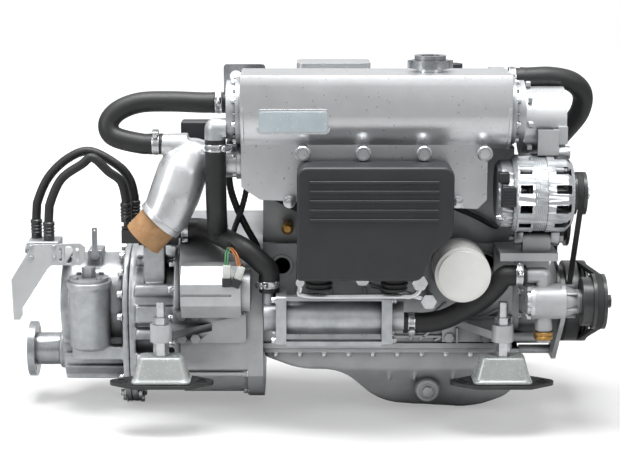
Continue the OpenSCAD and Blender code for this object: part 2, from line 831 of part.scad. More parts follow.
function pan_points(inset) = [
  [aft_x + inset, sump_z + inset], [aft_x + inset, pan_aft_z + inset],
  [pan_aft_flat_x, pan_z + inset], [pan_step_x, pan_z + inset],
  [pan_deep_x, pan_deep_z + inset], [pan_heel_x, pan_heel_z + inset],
  [pan_toe_x - inset, pan_toe_z + inset], [pan_toe_x - inset, sump_z + inset]];
module pan_section(inset, top) polygon([
  [-pan_y + inset, top], [-pan_y + inset, pan_z], [-pan_low_y + inset, pan_heel_z + inset],
  [pan_low_y - inset, pan_heel_z + inset], [pan_y - inset, pan_z], [pan_y - inset, top]]);
module pan_form(inset) intersection() {
  along_y(-pan_y, pan_y) polygon(pan_points(inset));
  along_x(aft_x, pan_toe_x) pan_section(inset, sump_z + inset);
}
module oil_sump() color("#a9acaf") {
  difference() {
    union() {
      intersection() {
        pan_form(0);
        slab(aft_x, pan_toe_x, -pan_y, pan_y, pan_heel_z, sump_z - half(wall));
      }
      slab(aft_x, pan_toe_x, -case_y - pan_rail_out, case_y + pan_rail_out,
        sump_z - wall, sump_z);
      both_sides() for (x = [pan_deep_x + pan_wall, drain_x + drain_boss_r])
        slab(x, x + rib_w, pan_low_y, pan_y - pan_wall, pan_z, sump_z - wall);
    }
    pan_form(pan_wall);
  }
  bar_y(-pan_y - drain_h, -pan_low_y - drain_h, drain_x, drain_z, drain_boss_r);
  hex_y(-pan_y - 2 * drain_h, -pan_y - drain_h, drain_x, drain_z, drain_af);
}

module head_gasket() color("#5b5d60") difference() {
  slab(aft_x, fwd_x, -barrel_y, barrel_y, deck_z, deck_z + gasket_t);
  for (i = [0:last]) bar_z(deck_z - over, deck_z + gasket_t + over, cyl_x(i), 0,
    half(bore_d) + half(ring_t));
}
module cylinder_head() color("#b4b7ba") {
  slab(head_aft, head_fwd, -head_y, head_y, deck_z + gasket_t, head_z);
  for (i = [0:last]) {
    slab(cyl_x(i) - half(port_w), cyl_x(i) + half(port_w), -head_y - tank_gap, -head_y,
      port_z - half(port_h), port_z + half(port_h));
    bar_y(head_y, head_y + injector_h, cyl_x(i), port_z, injector_r);
    hex_y(head_y + injector_h, head_y + 2 * injector_r + injector_h, cyl_x(i), port_z,
      1.5 * injector_r);
  }
  bar_x(head_fwd, header_aft, -header_in, header_z, spigot_r);
}
module rocker_cover() color("#c6c9cb") difference() {
  union() {
    plate_z(head_aft + half(wall), head_fwd - half(wall), -head_y + half(wall), head_y - half(wall),
      head_z, head_z + wall, cover_in);
    plate_z(head_aft + cover_in, head_fwd - cover_in, -head_y + cover_in,
      head_y - cover_in,
      head_z + wall, cover_z, 2 * cover_in);
    plate_z(breather_x0, breather_x1, -breather_half, breather_half, cover_z,
      cover_z + breather_h, cover_in);
    bar_z(cover_z, cover_z + oil_neck_h, oil_cap_x, 0, half(oil_cap_d) - half(wall));
  }
  plate_z(head_aft + cover_in + thin, head_fwd - cover_in - thin,
    -head_y + cover_in + thin, head_y - cover_in - thin,
    head_z - over, cover_z - thin, 2 * cover_in - thin);
  bar_z(head_z, cover_z + oil_neck_h + over, oil_cap_x, 0, half(oil_cap_d) - wall);
}
module oil_filler_cap() color("#232425") difference() {
  z0 = cover_z + oil_neck_h + gap;
  union() {
    bar_z(z0, z0 + oil_cap_h, oil_cap_x, 0, half(oil_cap_d));
    bar_z(cover_z - thin, z0, oil_cap_x, 0, half(oil_cap_d) - wall - run_gap);
  }
  for (a = [0:30:330]) translate([oil_cap_x, 0, z0]) rotate([0, 0, a])
    translate([half(oil_cap_d) + half(thin), 0, -over]) cylinder(r = thin, h = oil_cap_h + 2 * over,
      $fn = 24);
}

module tank_section() {
  translate([-tank_out, tank_z]) circle(r = tank_r);
  polygon([[-tank_front, tank_z], [-tank_front, tank_z1 - facet], [-tank_front + half(facet),
    tank_z1],
    [-tank_back, tank_z1], [-tank_back, tank_z]]);
}
module coolant_tank() color("#c9cbcd") {
  difference() {
    union() {
      along_x(tank_aft, tank_fwd) tank_section();
      along_y(-skirt_out, -barrel_y) polygon([[tank_aft, tank_z], [tank_aft, skirt_low_z + skirt_cut_z],
        [tank_aft + skirt_cut_x, skirt_low_z], [skirt_end_x - 2 * wall, skirt_drop_z],
        [skirt_end_x, skirt_low_z], [skirt_end_x, tank_z]]);
      for (i = [0:last])
        bar_y(-skirt_out - boss_out, -skirt_out, cyl_x(i), boss_z, boss_r);
      bar_z(tank_z1, tank_z1 + neck_h, neck_x, -neck_out, neck_r);
      slab(tank_fwd - hose_boss_l, tank_fwd, -tank_back, -tank_back + hose_d - half(wall),
        tank_z1 - hose_d, tank_z1);
    }
    bar_x(tank_aft - over, tank_fwd + wall, -tank_out, tank_z, half(stack_bore));
    bar_z(tank_z, tank_z1 + neck_h + over, neck_x, -neck_out, neck_r - thin);
    slab(tank_aft - over, skirt_end_x + over, -barrel_y - tank_gap, -barrel_y + over,
      deck_z - over, tank_z1);
  }
  bar_x(tank_fwd, tank_fwd + hose_boss_l, top_hose_y, top_hose_z, spigot_r);
}

module tank_end_caps() color("#aeb1b4") {
  difference() {
    union() {
      bar_x(tank_aft - cap_rim_t, tank_aft, -tank_out, tank_z, cap_face_r);
      bar_x(tank_aft - cap_l, tank_aft - cap_rim_t, -tank_out, tank_z, cap_face_r - edge_r);
      bar_x(tank_fwd, tank_fwd + cap_rim_t, -tank_out, tank_z, cap_face_r);
      bar_x(tank_fwd + cap_rim_t, header_aft, -tank_out, tank_z, cap_face_r - edge_r);
    }
    for (x0 = [tank_aft - cap_l + wall, tank_fwd - wall])
      bar_x(x0, x0 + cap_l, -tank_out, tank_z, half(stack_bore) - wall);
  }
  for (x0 = [tank_aft - cap_rim_t - half(wall), tank_fwd + cap_rim_t], a = [0:45:315])
    hex_x(x0, x0 + half(wall), -tank_out + (cap_face_r - half(edge_r)) * cos(a),
      tank_z + (cap_face_r - half(edge_r)) * sin(a), half(edge_r));
  bar_x(tank_aft - cap_l - spigot_l, tank_aft - cap_l, -u_hose_out, u_hose_z, spigot_r);
  bar_x(riser_x, tank_aft - cap_l, -riser_out, riser_z, half(hose_d));
  translate([riser_x, -riser_out, riser_z]) sphere(r = half(hose_d));
  bar_z(riser_top_z, riser_z, riser_x, -riser_out, half(hose_d));
  bar_z(riser_top_z - spigot_l, riser_top_z, riser_x, -riser_out, spigot_r);
}
module tube_stack() color("#b98a58") {
  pitch = stack_tube_d + half(thin) * 2;
  for (x = [tank_aft + wall, tank_fwd - 2 * wall])
    bar_x(x, x + wall, -tank_out, tank_z, half(stack_bore));
  for (i = [-3:3], j = [-3:3])
    if (abs(i + j) < 4)
      bar_x(tank_aft + 2 * wall, tank_fwd - 2 * wall, -tank_out + pitch * (i + j / 2),
        tank_z + pitch * j * sin(60), half(stack_tube_d));
}
module pressure_cap() color("#8d9093") {
  z0 = tank_z1 + neck_h + gap;
  r = half(cap_d);
  difference() {
    union() {
      bar_z(z0, z0 + cap_skirt_h, neck_x, -neck_out, r);
      bar_z(z0 + cap_skirt_h, z0 + cap_skirt_h + cap_dome_h, neck_x, -neck_out, r - edge_r);
      plate_z(neck_x - r - edge_r, neck_x + r + edge_r, -neck_out - edge_r, -neck_out + edge_r,
        z0, z0 + cap_skirt_h, half(edge_r));
    }
    bar_z(z0 + cap_skirt_h + half(cap_dome_h), z0 + cap_skirt_h + cap_dome_h + over, neck_x, -neck_out,
      half(r));
  }
  bar_z(z0 - neck_h - thin, z0, neck_x, -neck_out, neck_r - thin - gap);
}
module thermostat_housing() color("#c9cbcd") {
  bar_x(header_aft, header_aft + wall, -header_out, header_z, header_r);
  bar_x(header_aft + wall, header_aft + header_l, -header_out, header_z, header_r - half(thin));
  slab(ear_x, header_aft + header_l, -ear_out, -header_out, ear_z, ear_z + ear_h);
  for (a = [100:40:260]) hex_x(header_aft + wall, header_aft + 2 * wall,
    -header_out + (header_r + half(wall)) * cos(a),
    header_z + (header_r + half(wall)) * sin(a), wall + half(thin));
}

module exhaust_elbow() color("#c9cbcd") {
  way = [sin(ring_turn), 0, cos(ring_turn)];
  p = concat([for (s = elbow_shares)
    [tank_aft - s[0] * elbow_reach, elbow_y - s[2] * elbow_out, elbow_z - s[1] * elbow_fall]],
    [elbow_end - collar_l * way]);
  r = [start_r, start_r + half(thin), belly_r - edge_r, belly_r,
    belly_r, ring_r + half(thin)];
  for (i = [0:len(p) - 2]) hull() {
    translate(p[i]) sphere(r = r[i], $fn = ball_fn);
    translate(p[i + 1]) sphere(r = r[i + 1], $fn = ball_fn);
  }
  translate(elbow_end) rotate([0, ring_turn, 0]) translate([0, 0, -collar_l])
    cylinder(r = ring_r + thin, h = collar_l);
  bar_x(p[0][0], tank_aft, elbow_y, elbow_z, start_r - gap);
  bar_x(tank_aft - elbow_flange_t, tank_aft, elbow_y, elbow_z, elbow_flange_r);
  bar_x(stub_aft, elbow_end[0] + belly_r, elbow_y, stub_z, spigot_r);
  bar_x(stub_aft + spigot_l, elbow_end[0] + 2 * belly_r, elbow_y, stub_z, stub_r);
}
module exhaust_ring() color("#c39a68") translate(elbow_end) rotate([0, ring_turn, 0]) difference() {
  cylinder(r = ring_r, h = ring_l);
  translate([0, 0, wall]) cylinder(r = ring_r - thin, h = ring_l);
}

module box_form(inset) intersection() {
  along_y(-box_front + inset, -box_back - inset) polygon([
    [box_x0 + inset + box_bevel, box_z0 + inset], [box_x1 - box_cut_x, box_z0 + inset],
    [box_x1 - inset, box_z0 + box_cut_z], [box_x1 - inset, box_z1 - inset - box_bevel],
    [box_x1 - inset - box_bevel, box_z1 - inset], [box_x0 + inset + box_bevel, box_z1 - inset],
    [box_x0 + inset, box_z1 - inset - box_bevel], [box_x0 + inset, box_z0 + inset + box_bevel]]);
  along_x(box_x0, box_x1) polygon([
    [-box_back, box_z0], [-box_front + box_bevel, box_z0],
    [-box_front, box_z0 + box_bevel], [-box_front, box_z1 - box_bevel],
    [-box_front + box_bevel, box_z1], [-box_back, box_z1]]);
}
module air_box() color("#343538") {
  difference() {
    box_form(0);
    box_form(box_wall);
    for (k = [0:groove_count - 1])
      slab(box_x0 + box_bevel, box_x1 - box_bevel, -box_front - over, -box_front + groove_depth,
        groove_z0 + (k - groove_count / 2) * groove_pitch,
          groove_z0 + (k - groove_count / 2) * groove_pitch + half(groove_pitch));
    for (x = boot_x) bar_z(box_z0 - over, box_z0 + box_wall + over, x, -boot_out, boot_r - box_wall);
  }
  for (x = [box_x0 + 2 * boot_r, box_x1 - 2 * boot_r])
    bar_y(-box_back, -skirt_out, x, box_z1 - boot_r, boss_r);
}
module air_element() color("#d8cfb0") {
  x0 = box_x0 + 2 * box_bevel;
  x1 = box_x1 - box_cut_x;
  z0 = box_z0 + box_bevel + boot_r;
  z1 = box_z1 - box_bevel;
  pleats = 24;
  difference() {
    slab(x0, x1, -box_front + box_bevel + box_wall, -box_back - box_wall, z0, z1);
    for (k = [0:pleats - 1])
      slab(x0 + (x1 - x0) * (k + 0.3) / pleats, x0 + (x1 - x0) * (k + 0.7) / pleats,
        -box_front, -box_back - box_wall - wall, z0 + half(wall), z1 - half(wall));
  }
}
module air_boots() color("#1f2022") for (x = boot_x) {
  translate([x, -boot_out, box_z0]) rotate_extrude() intersection() {
    round_rect(2 * boot_r, 2 * boot_h, boot_edge);
    translate([0, -boot_h]) square([boot_r, boot_h]);
  }
  bar_y(-boot_out, -case_y, x, duct_z, duct_r);
}

module oil_cooler() color("#b9bcbf") {
  hw = half(frame_w);
  hh = half(frame_h);
  for (x = [cooler_x0, cooler_x1 - frame_t]) {
    translate([x, -cooler_out, cooler_z]) rotate([90, 0, 90]) linear_extrude(frame_t)
      round_rect(frame_w, frame_h, edge_r);
    bar_y(-cooler_out + hw, -case_y, x + half(frame_t), cooler_z + lug_r, lug_r);
  }
  bar_x(cooler_x0 + frame_t, cooler_x1 - frame_t, -cooler_out, cooler_z, half(cooler_d) + half(thin));
  for (z = [cooler_z - hh, cooler_z + hh - cooler_bar])
    slab(cooler_x0 + frame_t, cooler_x1 - frame_t, -cooler_out - hw, -cooler_out - hw + 2 * cooler_bar, z,
      z + cooler_bar);
  bar_x(cooler_x0 - cooler_cap_l, cooler_x0, -cooler_out, cooler_z, cooler_cap_r);
  bar_x(cooler_x1, cooler_x1 + cooler_cap_l, -cooler_out, cooler_z, cooler_cap_r);
  bar_z(cooler_z, cooler_in_top_z + spigot_l, cooler_in_x, -cooler_out, spigot_r);
  bar_x(cooler_x1 + cooler_cap_l, cooler_x1 + cooler_cap_l + spigot_l, -cooler_out, cooler_out_z, spigot_r);
}
module union_nut(x, y, z) {
  hex_y(y - half(nut_h), y + half(nut_h), x, z, nut_af);
  bar_y(y, -case_y, x, z, 1.5 * pipe_r);
}
module oil_pipes() color("#b4b7ba") {
  lift = nut_af;
  rod([[pipe_x0, -pipe_out, pipe_z + lift], [pipe_x0, -pipe_out, pipe_z + half(lift)],
    [pipe_x0 + half(lift), -pipe_out, pipe_z], [row_x, -pipe_out, pipe_z], [pipe_x1 - half(lift),
      -pipe_out, pipe_z],
    [pipe_x1, -pipe_out, pipe_z + half(lift)], [pipe_x1, -pipe_out, pipe_z + lift]], pipe_r, 8);
  bar_y(-pipe_out - pipe_r, -case_y, pipe_x0, pipe_z + lift, 1.5 * pipe_r);
  union_nut(pipe_x1, -pipe_out, pipe_z + lift);
  y = -pipe_out + 2 * nut_h;
  rod([[pipe_xb, y, pipe_z + lift], [pipe_xb + half(lift), y, pipe_z + half(lift)],
    [row_x, y, pipe_z + half(pipe_r)], [pipe_xc - half(lift), y, pipe_z - half(lift)], [pipe_xc, y,
      pipe_zc]], pipe_r, 8);
  union_nut(pipe_xb, y, pipe_z + lift);
  union_nut(pipe_xc, y, pipe_zc);
}

module oil_filter() color("#d9dbd8") {
  bar_y(-filter_seat - filter_l + edge_r, -filter_seat, filter_x, filter_z, half(filter_d));
  bar_y(-filter_seat - filter_l, -filter_seat - filter_l + edge_r, filter_x, filter_z,
    half(filter_d) - edge_r);
}
module filter_head() color("#a9acaf") {
  bar_y(-filter_seat, -case_y - half(filter_head_t), filter_x, filter_z, filter_head_r);
  slab(filter_x - filter_head_r, filter_x + filter_head_r, -case_y - half(filter_head_t), -case_y,
    filter_z - filter_head_r, case_z - thin);
}

module flat_sided(r) intersection() {
  translate([0, crank_z]) circle(r = r);
  translate([-bell_flat, -crank_z * 2]) square([2 * bell_flat, crank_z * 5]);
}
module flywheel_housing() color("#b4b7ba") difference() {
  union() {
    along_x(bell_aft, aft_x) flat_sided(bell_r);
    intersection() {
      along_x(aft_x - bell_flange_t, aft_x) flat_sided(bell_flange_r);
      slab(bell_aft, aft_x, -crankcase_w, crankcase_w, -crankcase_w, half(crank_z));
    }
    for (z = [crank_z - bell_hole_r, half(crank_z) - bell_hole_r])
      both_sides() slab(bell_aft, aft_x, half(bell_flat), bell_flat, z - half(rib_w), z + half(rib_w));
  }
  intersection() {
    bar_x(bell_aft + bell_wall, aft_x - bell_front_t, 0, crank_z, bell_r - bell_wall);
    slab(bell_aft, aft_x, -bell_flat + bell_wall, bell_flat - bell_wall, -bell_r, crank_z + bell_r);
  }
  bar_x(bell_aft - over, bell_aft + bell_wall + over, 0, crank_z, bell_rear_hole_r);
  bar_x(aft_x - bell_front_t - over, aft_x + over, 0, crank_z, bell_hole_r);
}
module flywheel() color("#77797b") difference() {
  union() {
    bar_x(flywheel_aft, flywheel_fwd, 0, crank_z, rim_r - 2 * tooth_h);
    translate([flywheel_fwd - half(flywheel_t), 0, crank_z]) rotate([0, 90,
      0]) linear_extrude(half(flywheel_t)) polygon([
      for (k = [0:2 * teeth - 1]) let (r = rim_r - (k % 2) * tooth_h)
        [r * cos(180 * k / teeth), r * sin(180 * k / teeth)]]);
  }
  bar_x(flywheel_aft - over, flywheel_aft + damper_t, 0, crank_z, damper_r + wall);
  bar_x(flywheel_aft, flywheel_fwd + over, 0, crank_z, input_r + wall);
}
module input_shaft() color("#8f9294") {
  x1 = flywheel_aft + damper_t;
  bar_x(x1 - damper_t, x1, 0, crank_z, damper_r);
  bar_x(x1 - 2 * damper_t, x1 - damper_t, 0, crank_z, 2 * input_r);
  bar_x(split_x + wall, x1 - 2 * damper_t, 0, crank_z, input_r);
}

module gear_outline(top_r, low_r) {
  translate([0, crank_z]) circle(r = top_r);
  translate([0, out_z]) circle(r = low_r);
  polygon([[-top_r, crank_z], [top_r, crank_z], [low_r, out_z], [-low_r, out_z]]);
}
module gearbox_front() color("#b9bcbf") difference() {
  union() {
    along_x(bell_aft - gear_rim, bell_aft) {
      intersection() {
        translate([0, crank_z]) circle(r = gear_mate_r);
        translate([-gear_mate_r, out_z - gear_low_r]) square([2 * gear_mate_r, 4 * gear_mate_r]);
      }
      gear_outline(gear_front_r, gear_low_r);
    }
    along_x(split_x + gear_rim, bell_aft - gear_rim) gear_outline(gear_front_r, gear_low_r);
    along_x(split_x, split_x + gear_rim) gear_outline(gear_flange_r, flange_low_r);
    slab(gcool_x0 + wall, gcool_x1 - gcool_r, -gcool_out - wall, -gcool_out + gcool_r,
      crank_z + half(gear_front_r), gcool_boss_z);
    both_sides() for (z = [crank_z - half(gear_front_r), crank_z])
      slab(split_x + gear_rim, bell_aft - gear_rim, half(gear_front_r), gear_front_r + thin,
        z, z + gear_rib_t);
  }
  bar_x(split_x + half(wall), bell_aft + over, 0, crank_z, input_r + run_gap);
}
module gearbox_rear() color("#b9bcbf") difference() {
  union() {
    along_x(split_x - gear_rim, split_x) gear_outline(gear_flange_r, flange_low_r);
    along_x(gear_aft, split_x - gear_rim) gear_outline(gear_rear_r, rear_low_r);
    bar_x(gear_aft - gear_seal_l, gear_aft, 0, out_z, gear_seal_r);
    bar_z(pot_z0, pot_z1, pot_x, -pot_out, pot_r);
    slab(gear_aft, gear_aft + pad_l, -pad_half, pad_half, crank_z, pad_top_z);
    slab(lever_x - 1.5 * hub_r, lever_x + 1.5 * hub_r, -lever_out, 0, crank_z, lever_z + hub_r);
    both_sides() for (k = [0:3])
      slab(gear_aft + wall, split_x - gear_rim, half(rear_low_r),
        rear_low_r + gear_rib_share * k * gear_rib_t,
        out_z - half(rear_low_r) + k * pot_r, out_z - half(rear_low_r) + k * pot_r + gear_rib_t);
  }
  bar_x(gear_aft - gear_seal_l - over, split_x - half(gear_front_l), 0, out_z, out_shaft_r + run_gap);
  bar_y(-lever_out - over, -half(lever_out), lever_x, lever_z, lever_shaft_r + run_gap);
  bar_z(pot_z1, pad_top_z + over, pot_x, -pot_out, pot_r);
}
module gearbox_cap() color("#c9cbcd") {
  bar_z(pot_z1, pot_z1 + pot_lid_h, pot_x, -pot_out, pot_r - half(thin));
  hex_z(pot_z1 + pot_lid_h, pot_z1 + pot_lid_h + pot_hex_h, pot_x, -pot_out, pot_hex_af);
  for (a = [45:90:315]) hex_z(pot_z1 + pot_lid_h, pot_z1 + pot_lid_h + half(wall),
    pot_x + (pot_r - wall) * cos(a), -pot_out + (pot_r - wall) * sin(a), wall);
}
module output_shaft() color("#9c9fa2") {
  x1 = gear_aft - gear_seal_l - gap;
  x0 = x1 - coupling_gap - coupling_t;
  difference() {
    union() {
      bar_x(x0, x0 + coupling_t, 0, out_z, half(coupling_d));
      bar_x(x0 + coupling_t, x1, 0, out_z, coupling_hub_r);
    }
    bar_x(x0 - over, x0 + pilot_depth, 0, out_z, pilot_r);
    for (a = [45:90:315]) bar_x(x0 - over, x0 + coupling_t + over,
      half(coupling_pcd) * cos(a), out_z + half(coupling_pcd) * sin(a), half(coupling_hole_d));
  }
  bar_x(x1, split_x - half(gear_front_l) - wall, 0, out_z, out_shaft_r);
}
module shift_lever() color("#8d9093") difference() {
  union() {
    bar_y(-lever_out - gap - lever_t, -lever_out - gap, lever_x, lever_z, hub_r);
    plate_y(lever_x - half(hub_r), lever_x + half(hub_r), lever_z, lever_z + lever_l,
      -lever_out - gap - lever_t, -lever_out - gap, half(thin));
    bar_y(-lever_out - gap, -half(lever_out) - half(hub_r), lever_x, lever_z, lever_shaft_r);
  }
  bar_y(-lever_out - gap - lever_t - over, -lever_out, lever_x, lever_z + lever_l - half(hub_r),
    half(thin));
}
module cable_bracket() color("#b9bbbd") {
  difference() {
    along_y(-plate_out, plate_t - plate_out) polygon([for (s = bracket_shares) bracket_at(s)]);
    plate_y(bracket_at(slot_shares[0])[0], bracket_at(slot_shares[1])[0], bracket_at(slot_shares[0])[1],
      bracket_at(slot_shares[1])[1], -plate_out - over, plate_t - plate_out + over, edge_r);
    for (s = hole_shares)
      bar_y(-plate_out - over, plate_t - plate_out + over, bracket_at(s)[0], bracket_at(s)[1],
        half(edge_r));
  }
  slab(gear_aft - gear_seal_l, gear_aft + pad_l, plate_t - plate_out, pad_half, pad_top_z,
    pad_top_z + plate_t);
}
function bracket_at(s) = [split_x - s[0] * bracket_l, pad_top_z + s[1] * bracket_h];

module alternator_body() color("#b6b9bb") {
  difference() {
    union() {
      translate([0, -alt_out, alt_z]) rotate([0, 90, 0]) rotate_extrude() polygon([
        [0, alt_aft - alt_cover_l], [alt_cover_r - edge_r, alt_aft - alt_cover_l],
        [alt_cover_r, alt_aft - alt_cover_l + edge_r], [alt_cover_r, alt_aft - thin],
        [alt_r - edge_r, alt_aft - thin], [alt_r, alt_aft + half(edge_r)], [alt_r, stator_x0],
        [alt_r - half(thin), stator_x0], [alt_r - half(thin), stator_x1],
        [alt_r, stator_x1], [alt_r, alt_fwd - alt_shell], [alt_r - alt_shell, alt_fwd], [0, alt_fwd]]);
      for (x = [alt_aft + half(wall), alt_lug_x])
        hull() {
          bar_x(x, x + lug_t, -pivot_out, pivot_z, alt_lug_r, $fn = hull_fn);
          bar_x(x, x + lug_t, -alt_out, alt_z - half(alt_r), alt_lug_r * 2, $fn = hull_fn);
        }
      bar_x(strap_x1, strap_x1 + lug_t + edge_r, -alt_out, top_lug_z, alt_lug_r - 1);
      slab(strap_x1 + half(edge_r), strap_x1 + lug_t, -alt_out - half(alt_lug_r),
        -alt_out + half(alt_lug_r), alt_z + half(alt_r), top_lug_z);
    }
    bar_x(alt_aft + alt_end_t, alt_fwd - alt_end_t, -alt_out, alt_z, alt_rotor_r + half(edge_r));
    bar_x(alt_aft, alt_fwd + over, -alt_out, alt_z, alt_shaft_r + run_gap);
    for (k = [0:alt_vents - 1]) translate([0, -alt_out, alt_z]) rotate([360 / alt_vents * (k + 0.5), 0,
      0]) {
      slab(alt_aft + edge_r, stator_x0 - thin, -half(vent_w), half(vent_w), half(alt_rotor_r),
        alt_r + over);
      slab(alt_lug_x, alt_fwd - edge_r, -half(vent_w), half(vent_w), half(alt_rotor_r), alt_r + over);
    }
    bar_x(alt_aft, alt_fwd, -pivot_out, pivot_z, pivot_pin_r + pivot_gap);
  }
}
module alternator_rotor() {
  color("#2c2d2f") translate([0, -alt_out, alt_z])
    pulley(alt_belt_x, alt_pulley_d, alt_shaft_r + thin, alt_shaft_r, edge_w);
  color("#8f9294") {
    bar_x(alt_aft + half(alt_end_t), alt_belt_x + edge_w + rim_t, -alt_out, alt_z, alt_shaft_r);
    bar_x(stator_x0 - wall, stator_x1 + wall, -alt_out, alt_z, alt_rotor_r);
  }
}
module alternator_supports() {
  color("#55575a") {
    slab(strap_x1 - strap_w, strap_x1, -alt_out - alt_lug_r, -alt_out - alt_lug_r + strap_t, strap_z0,
      strap_z1);
    slab(strap_x1 - strap_t, strap_x1, -alt_out - alt_lug_r, -alt_out + half(alt_lug_r), strap_z0,
      strap_z1);
  }
  color("#a9acaf") {
    slab(fwd_x - strap_w, front_x - edge_r, -alt_out - 2 * alt_lug_r, -case_y - bracket_t,
      bracket_top_z - bracket_t, bracket_top_z);
    slab(fwd_x - strap_w, fwd_x, -case_y - bracket_t, -case_y, bracket_top_z - 4 * bracket_t,
      case_z - thin);
    slab(alt_aft + half(wall) + lug_t + gap, alt_lug_x - gap,
      -pivot_out - alt_lug_r, -pivot_out + alt_lug_r, bracket_top_z, pivot_z);
    bar_x(alt_aft + half(wall) + lug_t + gap, alt_lug_x - gap, -pivot_out, pivot_z, alt_lug_r);
    bar_x(alt_aft - half(wall), alt_lug_x + lug_t + wall, -pivot_out, pivot_z, pivot_pin_r);
    hex_x(alt_lug_x + lug_t, alt_lug_x + lug_t + wall, -pivot_out, pivot_z, 2 * wall);
  }
}

module raw_pump_body() {
  color("#b4b7ba") difference() {
    union() {
      bar_x(body_x, front_x, -pump_out, pump_z, body_r);
      bar_x(front_x, pump_neck_fwd, -pump_out, pump_z, pump_neck_r);
      bar_z(pump_z - inlet_neck_l, pump_z, inlet_x, -pump_out, inlet_neck_r);
      bar_z(pump_z, outlet_z, outlet_x, -pump_out, outlet_r);
      translate([outlet_x, -pump_out, outlet_z]) sphere(r = outlet_r);
      bar_x(lid_x, outlet_x, -pump_out, outlet_z, outlet_r);
      bar_x(lid_x - spigot_l, lid_x, -pump_out, outlet_z, spigot_r);
      bar_z(inlet_end_z, pump_z - inlet_neck_l, inlet_x, -pump_out, inlet_r);
    }
    bar_x(body_x - over, body_x + chamber_l, -pump_out, pump_z, chamber_r);
    bar_x(body_x, pump_neck_fwd + over, -pump_out, pump_z, pump_shaft_r + run_gap);
    bar_z(inlet_end_z - over, pump_z - chamber_r + thin, inlet_x, -pump_out, inlet_r - thin);
  }
}
module raw_pump_cover() color("#c9cbcd") {
  bar_x(lid_x + half(lid_t), body_x, -pump_out, pump_z, body_r);
  bar_x(lid_x, lid_x + half(lid_t), -pump_out, pump_z, body_r - edge_r);
  for (a = [0:60:300]) hex_x(lid_x, lid_x + half(lid_t),
    -pump_out + (body_r - half(thin)) * cos(a), pump_z + (body_r - half(thin)) * sin(a), wall);
}
module raw_pump_rotor() {
  color("#2c2d2f") {
    translate([0, -pump_out, pump_z])
      pulley(pump_belt_x, raw_pulley_d, pump_shaft_r + thin, pump_shaft_r, edge_w);
  }
  color("#b4b7ba") {
    bar_x(body_x + gap, pump_belt_x + edge_w + rim_t, -pump_out, pump_z, pump_shaft_r);
    bar_x(pump_neck_fwd + gap, pump_belt_x - edge_w, -pump_out, pump_z, pump_flange_r);
    hex_x(pump_belt_x + edge_w + rim_t, pump_belt_x + edge_w + 2 * rim_t, -pump_out, pump_z,
      2 * pump_shaft_r + thin);
  }
  color("#3b2f28") for (k = [0:impeller_blades - 1])
    translate([body_x + gap, -pump_out, pump_z]) rotate([360 / impeller_blades * k, 0, 0])
      translate([0, -half(thin), 0]) cube([chamber_l - 2 * gap, thin, chamber_r - gap]);
}
module accessory_brackets() {
  alternator_supports();
  pump_plate();
}
module pump_plate() color("#8d9093") {
  x = front_x;
  difference() {
    along_x(x, x + pump_plate_t) {
      polygon([[-pump_out - body_r, pump_z], [-pump_out - half(body_r), pump_z + body_r],
        [-case_y, crank_z + half(timing_low_r)], [-timing_low_r + wall, crank_z], [-timing_low_r + wall,
          sump_z - 2 * wall],
        [-case_y - 2 * wall, sump_z - 2 * wall], [-pump_out - half(body_r), pump_z - body_r]]);
      translate([-pump_out, pump_z]) circle(r = body_r);
    }
    bar_x(x - over, x + pump_plate_t + over, -pump_out, pump_z, pump_neck_r);
  }
  bar_x(pan_toe_x, x, -case_y + wall, sump_z - half(wall), spacer_r);
  bar_x(arm_fwd, x, -case_y - half(arm_pad), arm_z0 + wall, spacer_r);
  for (y = [-case_y + wall, -case_y - half(arm_pad)])
    hex_x(x + pump_plate_t, x + pump_plate_t + half(wall), y,
      y == -case_y + wall ? sump_z - half(wall) : arm_z0 + wall, bolt_d);
}

// V-belts, as arcs joined by outer tangents
function tangent_dir(a, b, ra, rb) =
  let (d = b - a, base = atan2(d[1], d[0]), lean = asin((ra - rb) / norm(d)))
  [cos(base - 90 + lean), sin(base - 90 + lean)];
function arc(stop, from_dir, to_dir) =
  let (a0 = atan2(from_dir[1], from_dir[0]), a1 = atan2(to_dir[1], to_dir[0]),
    turn = a1 < a0 ? a1 + 360 - a0 : a1 - a0)
  [for (k = [0:belt_steps]) let (a = a0 + turn * k / belt_steps)
    [stop[0] + stop[2] * cos(a), stop[1] + stop[2] * sin(a)]];
function centre(stop) = [stop[0], stop[1]];
module wrapped(stops, shrink) {
  n = len(stops);
  inner = [for (s = stops) [s[0], s[1], s[2] - shrink]];
  dirs = [for (i = [0:n - 1]) let (a = inner[i], b = inner[(i + 1) % n])
    tangent_dir(centre(a), centre(b), a[2], b[2])];
  polygon([for (i = [0:n - 1]) each arc(inner[i], dirs[(i + n - 1) % n], dirs[i])]);
}
module v_belt(x, stops) along_x(x - half(belt_w), x + half(belt_w)) difference() {
  wrapped(stops, 0);
  wrapped(stops, belt_h);
}
module drive_belts() color("#1b1b1c") {
  v_belt(alt_belt_x, [[-alt_out, alt_z, half(alt_pulley_d)], [0, crank_z, half(crank_pulley_d)], [0,
    water_z, half(water_pulley_d)]]);
  v_belt(pump_belt_x, [[-pump_out, pump_z, half(raw_pulley_d)], [0, crank_z, half(crank_pulley_d)]]);
}

